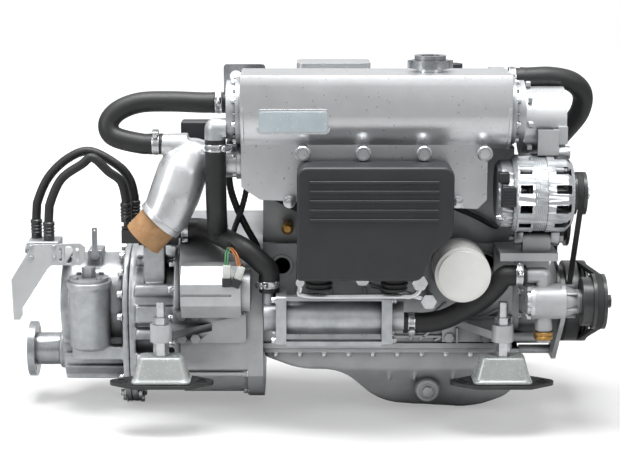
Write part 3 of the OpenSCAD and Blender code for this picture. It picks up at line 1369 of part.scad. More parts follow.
module at_mounts() for (x = [-1, 1], y = [-1, 1]) translate([x * mount_x, y * mount_y, 0]) children();
module mount_bases() color("#1c1c1d") at_mounts() difference() {
  plate_z(-half(base_l), half(base_l), -half(base_w), half(base_w), 0, base_t, 2 * edge_r);
  for (x = [-1, 1]) bar_z(-over, base_t + over, x * half(bed_bolt_span), 0, half(bed_hole_d));
}
module mount_domes() color("#a9adae") at_mounts() {
  hull() {
    plate_z(-half(dome_l), half(dome_l), -half(dome_w), half(dome_w), base_t, base_t + wall, 2 * edge_r,
      $fn = hull_fn);
    plate_z(-half(dome_top_l), half(dome_top_l), -half(dome_top_w), half(dome_top_w),
      dome_shoulder_z, dome_h, 2 * edge_r, $fn = hull_fn);
  }
}
module mount_studs() color("#c0c3c5") at_mounts() {
  bar_z(dome_h, stud_top_z, 0, 0, half(stud_d));
  for (z = [dome_h, dome_h + nut_t]) hex_z(z, z + nut_t, 0, 0, stud_af);
  hex_z(arm_boss_z + boss_h, arm_boss_z + boss_h + nut_t, 0, 0, stud_af);
}
module arm_end(x, x0, x1, y) difference() {
  union() {
    bar_z(arm_boss_z, arm_boss_z + boss_h, x, -mount_y, arm_boss_r);
    translate([0, 0, arm_boss_z + half(thin)]) linear_extrude(arm_t) polygon([
      [x0, y], [x1, y], [x + arm_boss_r - thin, -mount_y], [x - arm_boss_r + thin, -mount_y]]);
  }
  bar_z(arm_boss_z - over, arm_boss_z + boss_h + over, x, -mount_y, half(stud_d) + gap);
}
module mount_arms() color("#b4b7ba") both_sides() {
  arm_end(mount_x, arm_aft + arm_boss_r, arm_fwd - wall, -case_y - half(arm_pad));
  slab(arm_aft, arm_fwd, -case_y - arm_pad, -case_y, arm_z0, arm_z1);
  for (x = [arm_aft + arm_boss_r + wall, mount_x, arm_fwd - 2 * wall])
    slab(x - half(rib_w), x, -case_y - 2 * arm_pad, -case_y - arm_pad, arm_z0, arm_boss_z + half(thin));
  for (x = [arm_aft + arm_pad, mount_x - arm_boss_r])
    hex_y(-case_y - arm_pad - half(wall), -case_y - arm_pad, x, arm_z0 + wall, bolt_d + thin);
  arm_end(-mount_x, rear_aft + half(wall), rear_aft + 4 * arm_boss_r, -bell_flat - half(arm_pad));
  plate_y(rear_aft, rear_fwd, rear_low, rear_top, -bell_flat - arm_pad, -bell_flat, edge_r);
  for (x = [rear_aft + wall * 2, rear_aft + 5 * wall], z = [rear_low + wall,
    rear_top - wall])
    hex_y(-bell_flat - arm_pad - half(wall), -bell_flat - arm_pad, x, z, bolt_d + thin);
}

function from(start, route) = [for (p = route) start + p];
module coolant_hoses() color("#1f2022") {
  hose(concat(from([u_x0, -u_hose_out, u_hose_z], u_route),
    [[u_end_x - hose_lead, elbow_y, stub_z], [u_end_x, elbow_y, stub_z]]));
  hose(concat(from([tank_fwd + wall, top_hose_y, top_hose_z], top_route),
    [[water_port_x, 0, spigot_top_z + wall], [water_port_x, 0, spigot_top_z - hose_lead]]));
}
module raw_water_hoses() color("#1f2022") {
  x1 = lid_x - half(thin);
  hose(from([riser_x, -riser_out, riser_top_z], riser_route));
  hose(concat(from([gcool_x1 + half(thin), -cross_out, cross_z], cross_route),
    [[cooler_in_x, -cooler_out, cooler_in_top_z + hose_lead], [cooler_in_x, -cooler_out,
      cooler_in_top_z]]));
  hose(concat(from([cooler_x1 + cooler_cap_l, -cooler_out, cooler_out_z], forward_route),
    [[x1 - hose_lead, -pump_out, outlet_z], [x1, -pump_out, outlet_z]]));
}
module band(at, turn) translate(at) rotate(turn) {
  difference() {
    translate([0, 0, -half(clamp_w)]) cylinder(r = half(hose_d) + clamp_t, h = clamp_w);
    translate([0, 0, -clamp_w]) cylinder(r = half(hose_d), h = 2 * clamp_w);
  }
  slab(-half(hose_d) - wall, -half(hose_d) - half(clamp_t), -wall, wall, -half(clamp_w), half(clamp_w));
}
module hose_clamps() color("#c0c3c5") {
  band([u_x0 - half(spigot_l), -u_hose_out, u_hose_z], [0, 90, 0]);
  band([u_end_x - half(spigot_l), elbow_y, stub_z], [0, 90, 0]);
  band([tank_fwd + half(spigot_l), top_hose_y, top_hose_z], [0, 90, 0]);
  band([riser_x, -riser_out, riser_top_z - half(spigot_l)], [0, 0, 90]);
  band([gcool_x1 + half(spigot_l), -cross_out, cross_z], [0, 90, 0]);
  band([cooler_in_x, -cooler_out, cooler_in_top_z + half(spigot_l)], [0, 0, 90]);
  band([cooler_x1 + cooler_cap_l + half(spigot_l), -cooler_out, cooler_out_z], [0, 90, 0]);
  band([lid_x - half(spigot_l), -pump_out, outlet_z], [0, 90, 0]);
  band([water_port_x, 0, spigot_top_z - half(spigot_l)], [0, 0, 90]);
}

module gearbox_cooler() color("#2e2f31") {
  bar_x(gcool_x0, gcool_x1, -gcool_out, gcool_z, gcool_r);
  slab(gcool_x0 + wall, gcool_x1 - gcool_r, -gcool_out - wall, -gcool_out + wall,
    gcool_boss_z, gcool_z);
  bar_x(gcool_x1, gcool_x1 + spigot_l, -cross_out, cross_z, spigot_r);
  slab(gcool_x0 - gcool_block_l, gcool_x0, -gcool_out - gcool_r, -gcool_out + gcool_r,
    gcool_z - 2 * wall, gcool_z + wall);
}
module oil_line(i) {
  x0 = gear_aft + line_starts[i][0];
  y0 = line_starts[i][1];
  x1 = gcool_x0 + line_ends[i][0];
  y1 = line_ends[i][1];
  z0 = valve_z0 + valve_h + wall;
  z1 = gcool_z + wall + end_pipe_l;
  bar_z(z0 - wall, z0, x0, y0, end_pipe_r);
  bar_z(z0, z0 + ferrule_l, x0, y0, ferrule_r);
  rod(concat(from([x0, y0, z0 + ferrule_l], lead_routes[i]), from([x1, y1, z1 + ferrule_l],
    fall_routes[i])),
    half(oil_hose_d), 10);
  bar_z(z1, z1 + ferrule_l, x1, y1, ferrule_r);
  bar_z(z1 - end_pipe_l, z1, x1, y1, end_pipe_r);
}
module gearbox_hoses() color("#1f2022") {
  slab(gear_aft - valve_l, gear_aft - gear_seal_l + 2 * wall, plate_t - plate_out, -half(plate_out),
    valve_z0, valve_z0 + valve_h);
  for (i = [0, 1]) oil_line(i);
}

module starter_motor() color("#b9bcbf") difference() {
  union() {
    translate([starter_aft, -starter_out, starter_z]) rotate([0, 90, 0]) rotate([0, 0, 22.5])
      cylinder(r = half(starter_w) / cos(22.5), h = starter_fwd - starter_aft, $fn = 8);
    bar_x(starter_fwd, starter_fwd + 2 * wall, -starter_out, starter_z, half(starter_w) - wall);
  }
  slab(starter_aft - over, starter_fwd - 2 * wall, -starter_out - starter_w,
    -starter_out - half(starter_w) + half(thin),
    starter_z - half(thin), starter_z + half(thin));
}

module injection_pump() color("#9da0a3") difference() {
  union() {
    slab(inj_x0, inj_x0 + inj_l, case_y, inj_out, inj_z0, inj_z1);
    slab(inj_x0 - gov_l, inj_x0, case_y, inj_out - wall, inj_z0 - wall, inj_z1 - wall);
    bar_x(inj_x0 + inj_l, inj_x0 + inj_l + wall, line_out, half(inj_z0 + inj_z1),
      line_out - case_y - gap);
    for (i = [0:last]) bar_z(inj_z1, inj_z1 + valve_len, inj_x0 + inj_l * (i + 0.5) / cylinders,
      line_out, valve_r);
  }
  bar_z(inj_z1 - 3 * wall, inj_z1 + over, gov_x, line_out, inj_shaft_r + run_gap);
  bar_y(inj_out - 3 * wall, inj_out + over, gov_x, inj_z0 + wall, inj_shaft_r + run_gap);
}
module throttle_lever() color("#c0c3c5") {
  z = inj_z1 - wall + gap;
  bar_z(z - 2 * wall, z, gov_x, line_out, inj_shaft_r);
  difference() {
    union() {
      bar_z(z, z + rib_w, gov_x, line_out, hub_r);
      plate_z(gov_x - half(hub_r), gov_x + half(hub_r), line_out, line_out + inj_lever, z, z + rib_w,
        half(thin));
    }
    bar_z(z - over, z + rib_w + over, gov_x, line_out + inj_lever - half(hub_r), half(thin));
  }
}
module stop_lever() color("#c0c3c5") {
  y = inj_out - wall + gap;
  bar_y(y - 2 * wall, y, gov_x, inj_z0 + wall, inj_shaft_r);
  bar_y(y, y + rib_w, gov_x, inj_z0 + wall, hub_r);
  plate_y(gov_x - half(hub_r), gov_x + half(hub_r), inj_z0 + wall - half(inj_lever), inj_z0 + wall, y,
    y + rib_w, half(thin));
}
module fuel_lines() color("#b4b7ba") for (i = [0:last]) {
  x0 = inj_x0 + inj_l * (i + 0.5) / cylinders;
  y1 = head_y + injector_h + injector_r;
  z1 = port_z - injector_r * 0.75;
  z0 = inj_z1 + valve_len;
  rod([[x0, line_out, z0], [x0, line_out, z0 + 20], [half(x0 + cyl_x(i)), line_out + 4, half(z0 + z1)],
    [cyl_x(i), y1, z1 - 24], [cyl_x(i), y1, z1]], line_r, 8);
}

module lifting_eyes() color("#8d9093") {
  x = head_aft - 52;
  difference() {
    union() {
      plate_y(x - 2 * eye_r, head_aft, eye_z - 4 * eye_r, eye_z + 2 * eye_r, -eye_aft_out,
        -eye_aft_out + eye_t, edge_r);
      slab(head_aft - eye_t, head_aft, -eye_aft_out - 2 * eye_r, -eye_aft_out, port_z, head_z - wall);
    }
    bar_y(-eye_aft_out - over, -eye_aft_out + eye_t + over, x, eye_z, eye_r);
  }
  difference() {
    plate_y(head_fwd, head_fwd + 4 * eye_r, port_z, eye_z, eye_fwd_in, eye_fwd_in + eye_t, edge_r);
    bar_y(eye_fwd_in - over, eye_fwd_in + eye_t + over, head_fwd + 2 * eye_r, eye_z - 2 * eye_r, eye_r);
  }
}
module dipstick_tube() {
  slab(stick_x - 2 * tube_r, stick_x + 2 * tube_r, case_y, stick_out + 2 * tube_r,
    sump_z + pan_rail_t, crank_z);
  bar_z(crank_z, case_z + tube_h, stick_x, stick_out, tube_r);
  slab(stick_x - half(rib_w), stick_x + half(rib_w), barrel_y, stick_out,
    case_z + half(tube_h), case_z + half(tube_h) + wall);
}
module dipstick() color("#c9a227") {
  z1 = case_z + tube_h + gap;
  bar_z(z1 - stick_travel, z1, stick_x, stick_out, stick_r);
  bar_z(z1, z1 + wall, stick_x, stick_out, tube_r);
  translate([stick_x, stick_out, z1 + wall + 2 * tube_r]) rotate([90, 0, 0]) rotate_extrude()
    translate([2 * tube_r, 0]) circle(r = stick_r);
}

cylinder_block();
head_gasket();
cylinder_head();
rocker_cover();
oil_filler_cap();
oil_sump();
timing_cover();
crankshaft();
pistons_outer();
pistons_inner();
camshaft();
flywheel_housing();
flywheel();
gearbox_front();
gearbox_rear();
gearbox_cap();
input_shaft();
output_shaft();
shift_lever();
cable_bracket();
gearbox_hoses();
coolant_tank();
tank_end_caps();
tube_stack();
pressure_cap();
thermostat_housing();
exhaust_elbow();
exhaust_ring();
air_box();
air_element();
air_boots();
oil_cooler();
oil_pipes();
oil_filter();
filter_head();
alternator_body();
alternator_rotor();
accessory_brackets();
raw_pump_body();
raw_pump_cover();
raw_pump_rotor();
gearbox_cooler();
coolant_pump();
coolant_pulley();
crank_pulley();
drive_belts();
mount_arms();
mount_bases();
mount_domes();
mount_studs();
coolant_hoses();
raw_water_hoses();
hose_clamps();
starter_motor();
injection_pump();
throttle_lever();
stop_lever();
fuel_lines();
lifting_eyes();
dipstick();
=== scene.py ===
import math

import bmesh
import bpy
from mathutils import Matrix, Vector


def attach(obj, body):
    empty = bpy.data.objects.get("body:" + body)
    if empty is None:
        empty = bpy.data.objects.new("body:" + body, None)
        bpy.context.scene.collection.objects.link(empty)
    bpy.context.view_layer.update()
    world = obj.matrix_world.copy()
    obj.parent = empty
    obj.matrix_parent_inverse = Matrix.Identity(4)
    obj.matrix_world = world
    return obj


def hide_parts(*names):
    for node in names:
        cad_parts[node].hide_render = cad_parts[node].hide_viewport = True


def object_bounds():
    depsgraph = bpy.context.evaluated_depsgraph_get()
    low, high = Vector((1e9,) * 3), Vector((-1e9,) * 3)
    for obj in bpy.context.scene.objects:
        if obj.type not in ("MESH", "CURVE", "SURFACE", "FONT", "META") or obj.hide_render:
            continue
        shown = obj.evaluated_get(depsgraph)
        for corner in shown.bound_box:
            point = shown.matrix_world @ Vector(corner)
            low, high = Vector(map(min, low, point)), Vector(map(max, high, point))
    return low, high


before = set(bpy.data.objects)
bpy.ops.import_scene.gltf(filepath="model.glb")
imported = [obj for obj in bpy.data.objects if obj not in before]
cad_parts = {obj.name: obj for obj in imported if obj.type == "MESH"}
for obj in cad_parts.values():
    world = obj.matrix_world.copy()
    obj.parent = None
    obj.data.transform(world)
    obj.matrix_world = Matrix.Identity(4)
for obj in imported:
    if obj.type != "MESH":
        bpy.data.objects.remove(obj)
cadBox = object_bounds()
mm = 0.001
scene = bpy.context.scene


# ---- colours and materials
def hexColour(code):
    parts = [int(code[i:i + 2], 16) / 255 for i in (1, 3, 5)]
    return tuple(c / 12.92 if c <= 0.04045 else ((c + 0.055) / 1.055) ** 2.4 for c in parts) + (1.0,)


def addNode(tree, kind, settings=None, links=None):
    node = tree.nodes.new(kind)
    for name, value in (settings or {}).items():
        if isinstance(name, str) and hasattr(node, name):
            setattr(node, name, value)
        else:
            node.inputs[name].default_value = value
    for name, source in (links or {}).items():
        tree.links.new(source, node.inputs[name])
    return node


def newMaterial(name, shader):
    material = bpy.data.materials.new(name)
    material.use_nodes = True
    tree = material.node_tree
    tree.nodes.clear()
    output = addNode(tree, "ShaderNodeOutputMaterial")
    surface = addNode(tree, "ShaderNodeBsdfPrincipled", shader)
    tree.links.new(surface.outputs["BSDF"], output.inputs["Surface"])
    material.diffuse_color = shader.get("Base Color", (0.5, 0.5, 0.5, 1))
    return material, tree, surface


def newLook(colour, low, high, patch, grain, roughness, coat=None, ior=None, **more):
    # colour is the plain one, low and high its patches, patch and grain are sizes in mm
    shader = dict(zip(("Coat Weight", "Coat Roughness"), coat)) if coat else {}
    if ior:
        shader["IOR"] = ior
    return dict(colour=colour, low=low, high=high, patch=patch, grain=grain, roughness=roughness, shader=shader,
                **more)


# the last three entries set the ambient-occlusion ramp of the painted shade that darkens hollows
textureRules = {
    "patchDetail": 4.0, "patchRough": 0.6, "patchFrom": 0.32, "patchTo": 0.68, "grainDetail": 3.0,
    "grainRough": 0.55, "grainFrom": 0.3, "grainTo": 0.7, "spread": 0.06, "bumpStrength": 0.5,
    "grimeSamples": 16, "grimeFrom": 0.15, "grimeTo": 0.85}


def addNoise(tree, place, size, detail, rough):
    return addNode(tree, "ShaderNodeTexNoise", {"Scale": 1 / (size * mm), "Detail": detail, "Roughness": rough},
                   {"Vector": place}).outputs["Fac"]


def addRamp(tree, amount, first, last):
    ramp = addNode(tree, "ShaderNodeValToRGB", links={"Fac": amount})
    for element, (position, colour) in zip(ramp.color_ramp.elements, (first, last)):
        element.position = position
        element.color = colour
    return ramp.outputs["Color"]


def surfaceMaterial(name, look):
    # patches of two tones, painted shade in the hollows, and one grain in the roughness and the relief
    rules = textureRules
    shader = {"Base Color": hexColour(look["colour"]), "Roughness": look["roughness"],
              "Metallic": look.get("metallic", 0.0), **look["shader"]}
    material, tree, surface = newMaterial(name, shader)
    place = addNode(tree, "ShaderNodeTexCoord").outputs["Object"]
    patches = addNoise(tree, place, look["patch"], rules["patchDetail"], rules["patchRough"])
    colour = addRamp(tree, patches, (rules["patchFrom"], hexColour(look["low"])),
                     (rules["patchTo"], hexColour(look["high"])))
    # painted shade: the colour darkens towards the look's shade colour where ambient occlusion finds hollows and
    # nearby parts, in place of the shade that falls there
    if "grime" in look:
        hollow = addNode(tree, "ShaderNodeAmbientOcclusion",
                         {"samples": rules["grimeSamples"], "Distance": look["reach"] * mm, "inside": False})
        depth = addRamp(tree, hollow.outputs["AO"], (rules["grimeFrom"], (0, 0, 0, 1)),
                        (rules["grimeTo"], (1, 1, 1, 1)))
        colour = addNode(tree, "ShaderNodeMix", {"data_type": "RGBA", 6: hexColour(look["grime"])},
                         {0: depth, 7: colour}).outputs[2]
    tree.links.new(colour, surface.inputs["Base Color"])
    grain = addNoise(tree, place, look["grain"], rules["grainDetail"], rules["grainRough"])
    spread = look.get("spread", rules["spread"])
    rough = addNode(tree, "ShaderNodeMapRange",
                    {"From Min": rules["grainFrom"], "From Max": rules["grainTo"],
                     "To Min": look["roughness"] - spread, "To Max": look["roughness"] + spread}, {"Value": grain})
    tree.links.new(rough.outputs["Result"], surface.inputs["Roughness"])
    if "bump" in look:
        bump = addNode(tree, "ShaderNodeBump", {"Strength": rules["bumpStrength"], "Distance": look["bump"] * mm},
                       {"Height": grain})
        tree.links.new(bump.outputs["Normal"], surface.inputs["Normal"])
    return material


looks = {
    # cast iron under satin silver engine paint: fine sand-cast grain, painted shade darkening the hollows, and a
    # darker tone than the smooth copy that is partly painted shade
    "silverCastingShaded": newLook("#b3b5b7", "#a8aaac", "#bdbfc1", 70, 4.0, 0.4, metallic=0.35, bump=0.08,
        grime="#161718", reach=46, coat=(0.1, 0.3)),
    # the same silver over machined aluminium: smoother and brighter, the casting copy being partly darkened as
    # painted shade
    "silverPaintSmooth": newLook("#cbcdcf", "#c5c7c9", "#d1d3d5", 120, 9.0, 0.3, spread=0.03, metallic=0.72,
        coat=(0.2, 0.18)),
    # die-cast aluminium left bare: cooler, slightly mottled, crisp casting skin, with painted shade darkening the
    # hollows
    "castAluminium": newLook("#b2b5b8", "#a2a5a8", "#bfc2c5", 34, 3.6, 0.38, metallic=0.6, bump=0.08,
        grime="#131415", reach=42),
    # composite gasket edge: grey fibre sheet
    "gasketSheet": newLook("#5a5c5e", "#505254", "#646668", 8, 0.8, 0.75, bump=0.05),
    # turned mild steel: faint rings, a soft shine, and painted shade in the hollows
    "turnedSteel": newLook("#9fa2a5", "#929598", "#aaadb0", 30, 1.0, 0.3, metallic=0.9, bump=0.02,
        grime="#4a4b4c", reach=8),
    # turned piston aluminium
    "pistonAlloy": newLook("#c4c6c8", "#bcbec0", "#cccecf", 30, 1.0, 0.32, metallic=0.9, bump=0.02),
    # grey iron, machined and oiled
    "machinedIron": newLook("#77797b", "#6c6e70", "#828486", 20, 0.9, 0.42, metallic=0.8, bump=0.03),
    # black stoved paint on pulleys, worn to a sheen in the grooves
    "blackStovedPaint": newLook("#2b2c2e", "#242527", "#333436", 18, 1.0, 0.34, metallic=0.1, bump=0.02,
        coat=(0.3, 0.2)),
    # moulded glass-filled nylon: even fine spark-eroded grain
    "mouldedBlackPlastic": newLook("#232427", "#202124", "#26272a", 40, 0.9, 0.46, bump=0.05, ior=1.52),
    # extruded rubber hose: matt, faint bloom
    "hoseRubber": newLook("#171819", "#141516", "#1c1d1e", 34, 3.0, 0.5, bump=0.05, ior=1.5),
    # belt rubber: matt with cloth backing
    "beltRubber": newLook("#1d1e1f", "#191a1b", "#232425", 12, 0.8, 0.68, bump=0.05),
    # bright zinc plate on pressed steel, with painted shade in the hollows
    "zincPlate": newLook("#c6c8ca", "#bdbfc1", "#d0d2d4", 14, 0.8, 0.24, metallic=0.95, bump=0.01,
        grime="#5c5d5e", reach=5),
    # cold-rolled bracket sheet with flat silver paint
    "sheetSilver": newLook("#bcbec0", "#b6b8ba", "#c2c4c6", 70, 2.0, 0.4, metallic=0.45, bump=0.02),
    # black paint on the mounts' forged base plates
    "mountBlack": newLook("#1d1d1e", "#191919", "#242425", 25, 1.4, 0.38, bump=0.06, coat=(0.2, 0.25)),
    # glossy pale grey paint on the mounts' pressed domes
    "mountGrey": newLook("#b1b6b5", "#a9aead", "#b9bebd", 50, 6.0, 0.24, metallic=0.25, coat=(0.4, 0.12)),
    # cupro-nickel tube
    "tubeAlloy": newLook("#b98a58", "#a97a4a", "#c49a68", 20, 1.2, 0.32, metallic=0.9, bump=0.02),
    # tan anti-corrosion coat, brushed on and dull, with painted shade in the hollows
    "tanCoating": newLook("#a37c54", "#96704a", "#ae885f", 16, 1.6, 0.62, bump=0.1, grime="#7c5a36", reach=8),
    # off-white baked enamel on the oil filter's drawn can
    "filterEnamel": newLook("#e6e6e3", "#e2e2df", "#eaeae7", 50, 3.0, 0.22, bump=0.02, coat=(0.3, 0.1)),
    # resin-treated filter paper
    "filterPaper": newLook("#d8cfb0", "#cfc5a4", "#dfd7bb", 12, 0.8, 0.85, bump=0.05),
    # yellow moulded plastic of the dipstick's ring
    "yellowPlastic": newLook("#cba326", "#c39a20", "#d2ab30", 12, 1.0, 0.32, bump=0.01),
    # PVC insulation of the sensor wires, and the nylon of their plugs
    "greenWire": newLook("#3f7a52", "#397049", "#46855b", 10, 1.0, 0.45, bump=0.01),
    "orangeWire": newLook("#b06a35", "#a5612f", "#bd743c", 10, 1.0, 0.45, bump=0.01),
    "paleNylon": newLook("#c9cbc8", "#c0c2bf", "#d1d3d0", 14, 1.0, 0.42, bump=0.02),
    # pearl-lacquered sheet of the name plate
    "pearlSheet": newLook("#b9c6cc", "#b0bdc4", "#c6d1d6", 40, 5.0, 0.22, metallic=0.3, bump=0.01),
    # brass fittings, lightly tarnished
    "agedBrass": newLook("#a8824a", "#96713c", "#b79258", 9, 0.9, 0.34, metallic=0.9, bump=0.02),
}
paints = {name: surfaceMaterial(name, look) for name, look in looks.items()}

# each paint's material slot, and the nodes that wear it
paintUse = {
    "silverCastingShaded": ("engine_paint", ["cylinder_block", "cylinder_head", "oil_sump", "timing_cover",
        "flywheel_housing", "mount_arms", "accessory_brackets", "filter_head", "coolant_pump", "starter_motor",
        "injection_pump", "raw_pump_body"]),
    "silverPaintSmooth": ("tank_paint", ["coolant_tank", "rocker_cover", "exhaust_elbow", "thermostat_housing",
        "raw_pump_cover"]),
    "castAluminium": ("cast_alloy", ["gearbox_front", "gearbox_rear", "gearbox_cap", "tank_end_caps",
        "oil_cooler", "alternator_body"]),
    "gasketSheet": ("gasket", ["head_gasket"]),
    "turnedSteel": ("machined_steel", ["crankshaft", "camshaft", "input_shaft", "output_shaft", "shift_lever",
        "throttle_lever", "stop_lever", "lifting_eyes", "pressure_cap"]),
    "pistonAlloy": ("piston_alloy", ["pistons_outer", "pistons_inner"]),
    "machinedIron": ("flywheel_iron", ["flywheel"]),
    "blackStovedPaint": ("pulley_black", ["crank_pulley", "coolant_pulley", "alternator_rotor",
        "raw_pump_rotor", "gearbox_cooler"]),
    "mouldedBlackPlastic": ("black_plastic", ["air_box", "oil_filler_cap"]),
    "hoseRubber": ("rubber", ["air_boots", "coolant_hoses", "raw_water_hoses", "gearbox_hoses"]),
    "beltRubber": ("rubber", ["drive_belts"]),
    "zincPlate": ("zinc_plate", ["mount_studs", "hose_clamps", "oil_pipes", "fuel_lines"]),
    "sheetSilver": ("zinc_plate", ["cable_bracket"]),
    "mountBlack": ("mount_black", ["mount_bases"]),
    "mountGrey": ("mount_grey", ["mount_domes"]),
    "tubeAlloy": ("copper_nickel", ["tube_stack"]),
    "tanCoating": ("ring_tan", ["exhaust_ring"]),
    "filterEnamel": ("filter_white", ["oil_filter"]),
    "filterPaper": ("filter_paper", ["air_element"]),
    "yellowPlastic": ("dipstick_yellow", ["dipstick"]),
    "agedBrass": ("copper_nickel", []),
    "pearlSheet": ("zinc_plate", []),
    "greenWire": ("rubber", []),
    "orangeWire": ("rubber", []),
    "paleNylon": ("black_plastic", [])}

# bevels on the nodes' edges, in mm
edgeWidth = {
    "plain": 0.8, "mount_bases": 1.0, "mount_domes": 4.0, "air_box": 2.5, "oil_filter": 3.0,
    "coolant_tank": 2.5, "rocker_cover": 2.5, "gearbox_front": 1.5, "gearbox_rear": 1.5, "cable_bracket": 0.6}
edgeAngle = 38


def dressNode(name, paint):
    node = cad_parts[name]
    node.data.materials.clear()
    node.data.materials.append(paints[paint])
    for polygon in node.data.polygons:
        polygon.use_smooth = True
        polygon.material_index = 0
    weld = node.modifiers.new("weld", "WELD")
    weld.merge_threshold = 0.02 * mm
    bevel = node.modifiers.new("edges", "BEVEL")
    bevel.width = edgeWidth.get(name, edgeWidth["plain"]) * mm
    bevel.segments = 2
    bevel.limit_method = "ANGLE"
    bevel.angle_limit = math.radians(edgeAngle)
    bevel.use_clamp_overlap = True
    normals = node.modifiers.new("normals", "WEIGHTED_NORMAL")
    normals.keep_sharp = True


for paint, use in paintUse.items():
    for name in use[1]:
        dressNode(name, paint)
print("nodes dressed")


# ---- shapes, drawn in millimetres and scaled once in newPiece
def linkMesh(bm, name):
    mesh = bpy.data.meshes.new(name)
    bm.to_mesh(mesh)
    bm.free()
    piece = bpy.data.objects.new(name, mesh)
    scene.collection.objects.link(piece)
    return piece, mesh


def newPiece(bm, name, paint, node=None, sharp=35, bevel=0, voxel=0, smooth=0):
    bmesh.ops.remove_doubles(bm, verts=bm.verts, dist=0.001)
    bmesh.ops.recalc_face_normals(bm, faces=bm.faces)
    bmesh.ops.scale(bm, vec=(mm, mm, mm), verts=bm.verts)
    piece, mesh = linkMesh(bm, name)
    mesh.materials.append(paints[paint])
    mesh.shade_smooth()
    if voxel:  # one skin with soft fillets, as a sand casting has
        skin = piece.modifiers.new("skin", "REMESH")
        skin.mode, skin.voxel_size, skin.use_smooth_shade = "VOXEL", voxel * mm, True
        soft = piece.modifiers.new("fillets", "SMOOTH")
        soft.factor, soft.iterations = 0.5, smooth
    else:
        mesh.set_sharp_from_angle(angle=math.radians(sharp))
    if bevel:
        edges = piece.modifiers.new("edges", "BEVEL")
        edges.width, edges.segments = bevel * mm, 2
        edges.limit_method, edges.angle_limit = "ANGLE", math.radians(sharp)
        edges.harden_normals = True
    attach(piece, "engine")
    if node:
        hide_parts(node)


def roundEdges(bm, verts, width, segments, angle=30):
    mine = set(verts)
    edges = [e for e in bm.edges if e.verts[0] in mine and e.verts[1] in mine and len(e.link_faces) == 2
             and abs(e.calc_face_angle(0)) > math.radians(angle)]
    bmesh.ops.bevel(bm, geom=edges, offset=width, offset_type="OFFSET", segments=segments, profile=0.5,
                    affect="EDGES", clamp_overlap=True, material=-1)


def addBox(bm, low, high, edge=0, segments=2, turn=None, about=None):
    low, high = Vector(low), Vector(high)
    made = bmesh.ops.create_cube(bm, size=1)["verts"]
    bmesh.ops.scale(bm, vec=high - low, verts=made)
    bmesh.ops.translate(bm, vec=(low + high) / 2, verts=made)
    if turn:
        bmesh.ops.rotate(bm, verts=made, cent=about or (low + high) / 2, matrix=Matrix.Rotation(*turn))
    if edge:
        roundEdges(bm, made, edge, segments)


def addBlock(bm, place, size, edge=0, segments=2):
    made = bmesh.ops.create_cube(bm, size=1, matrix=place @ Matrix.Diagonal((*size, 1)))["verts"]
    if edge:
        roundEdges(bm, made, edge, segments)


def aim(start, way):
    return Matrix.Translation(start) @ Vector((0, 0, 1)).rotation_difference(way).to_matrix().to_4x4()


def addBar(bm, start, end, radius, endRadius=None, sides=40, edge=0, spin=0):
    start, end = Vector(start), Vector(end)
    way = end - start
    place = aim((start + end) / 2, way) @ Matrix.Rotation(spin, 4, "Z")
    made = bmesh.ops.create_cone(bm, cap_ends=True, cap_tris=False, segments=sides, radius1=radius,
                                 radius2=radius if endRadius is None else endRadius, depth=way.length,
                                 matrix=place)["verts"]
    if edge:
        roundEdges(bm, made, edge, 2, 50)


def addBall(bm, centre, radius, detail):
    bmesh.ops.create_uvsphere(bm, u_segments=detail, v_segments=detail // 2, radius=radius,
                              matrix=Matrix.Translation(centre))


def addLathe(bm, profile, centre, way, steps):
    # profile: (distance along the axis, radius) pairs
    way = Vector(way).normalized()
    side = way.orthogonal().normalized()
    verts = [bm.verts.new(Vector(centre) + way * along + side * radius) for along, radius in profile]
    edges = [bm.edges.new(pair) for pair in zip(verts, verts[1:])]
    bmesh.ops.spin(bm, geom=verts + edges, cent=centre, axis=way, dvec=(0, 0, 0), angle=math.tau, steps=steps,
                   use_merge=True, use_duplicate=False)


def addPlate(bm, outline, way):
    # a flat outline thickened along way
    face = bm.faces.new([bm.verts.new(p) for p in outline])
    made = bmesh.ops.extrude_face_region(bm, geom=[face], use_keep_orig=True)["geom"]
    bmesh.ops.translate(bm, vec=way, verts=[v for v in made if isinstance(v, bmesh.types.BMVert)])


def roundedOutline(low, high, radius, steps):
    # corners of a rounded rectangle as (a, b) pairs
    outline = []
    for turn, (a, b) in enumerate([(high[0] - radius, high[1] - radius), (low[0] + radius, high[1] - radius),
                                   (low[0] + radius, low[1] + radius), (high[0] - radius, low[1] + radius)]):
        for k in range(steps + 1):
            angle = math.pi / 2 * (turn + k / steps)
            outline.append((a + radius * math.cos(angle), b + radius * math.sin(angle)))
    return outline


boltRules = {"washer": 1.6, "washerRadius": 0.72, "cornerRadius": 1 / 1.732, "chamfer": 0.06, "turn": 0.3}


def addBolt(bm, seat, way, flats, height):
    # a hexagon head on its washer, with its flats' width in mm
    seat, way, washer = Vector(seat), Vector(way).normalized(), boltRules["washer"]
    addBar(bm, seat - way, seat + way * washer, flats * boltRules["washerRadius"], sides=28, edge=0.4)
    addBar(bm, seat + way * (washer - 0.5), seat + way * (washer + height), flats * boltRules["cornerRadius"],
           sides=6, edge=flats * boltRules["chamfer"], spin=boltRules["turn"])


def ringSpots(centre, radius, angles):
    turns = [math.radians(angle) for angle in angles]
    return [(centre[0] + radius * math.cos(turn), centre[1] + radius * math.sin(turn)) for turn in turns]


def arcSpots(centre, radius, first, last, count):
    return ringSpots(centre, radius, [first + (last - first) * k / (count - 1) for k in range(count)])


def smoothRoute(route, steps):
    # straight from each end to the next point, smooth between
    p = [Vector(v) for v in route]
    out = [p[0]]
    for i in range(1, len(p) - 2):
        a, b, c, d = p[i - 1:i + 3]
        for s in range(steps):
            t = s / steps
            out.append(b + ((c - a) * t + (2 * a - 5 * b + 4 * c - d) * t * t + (3 * b - a - 3 * c + d) * t ** 3) / 2)
    return out + [p[-2], p[-1]]


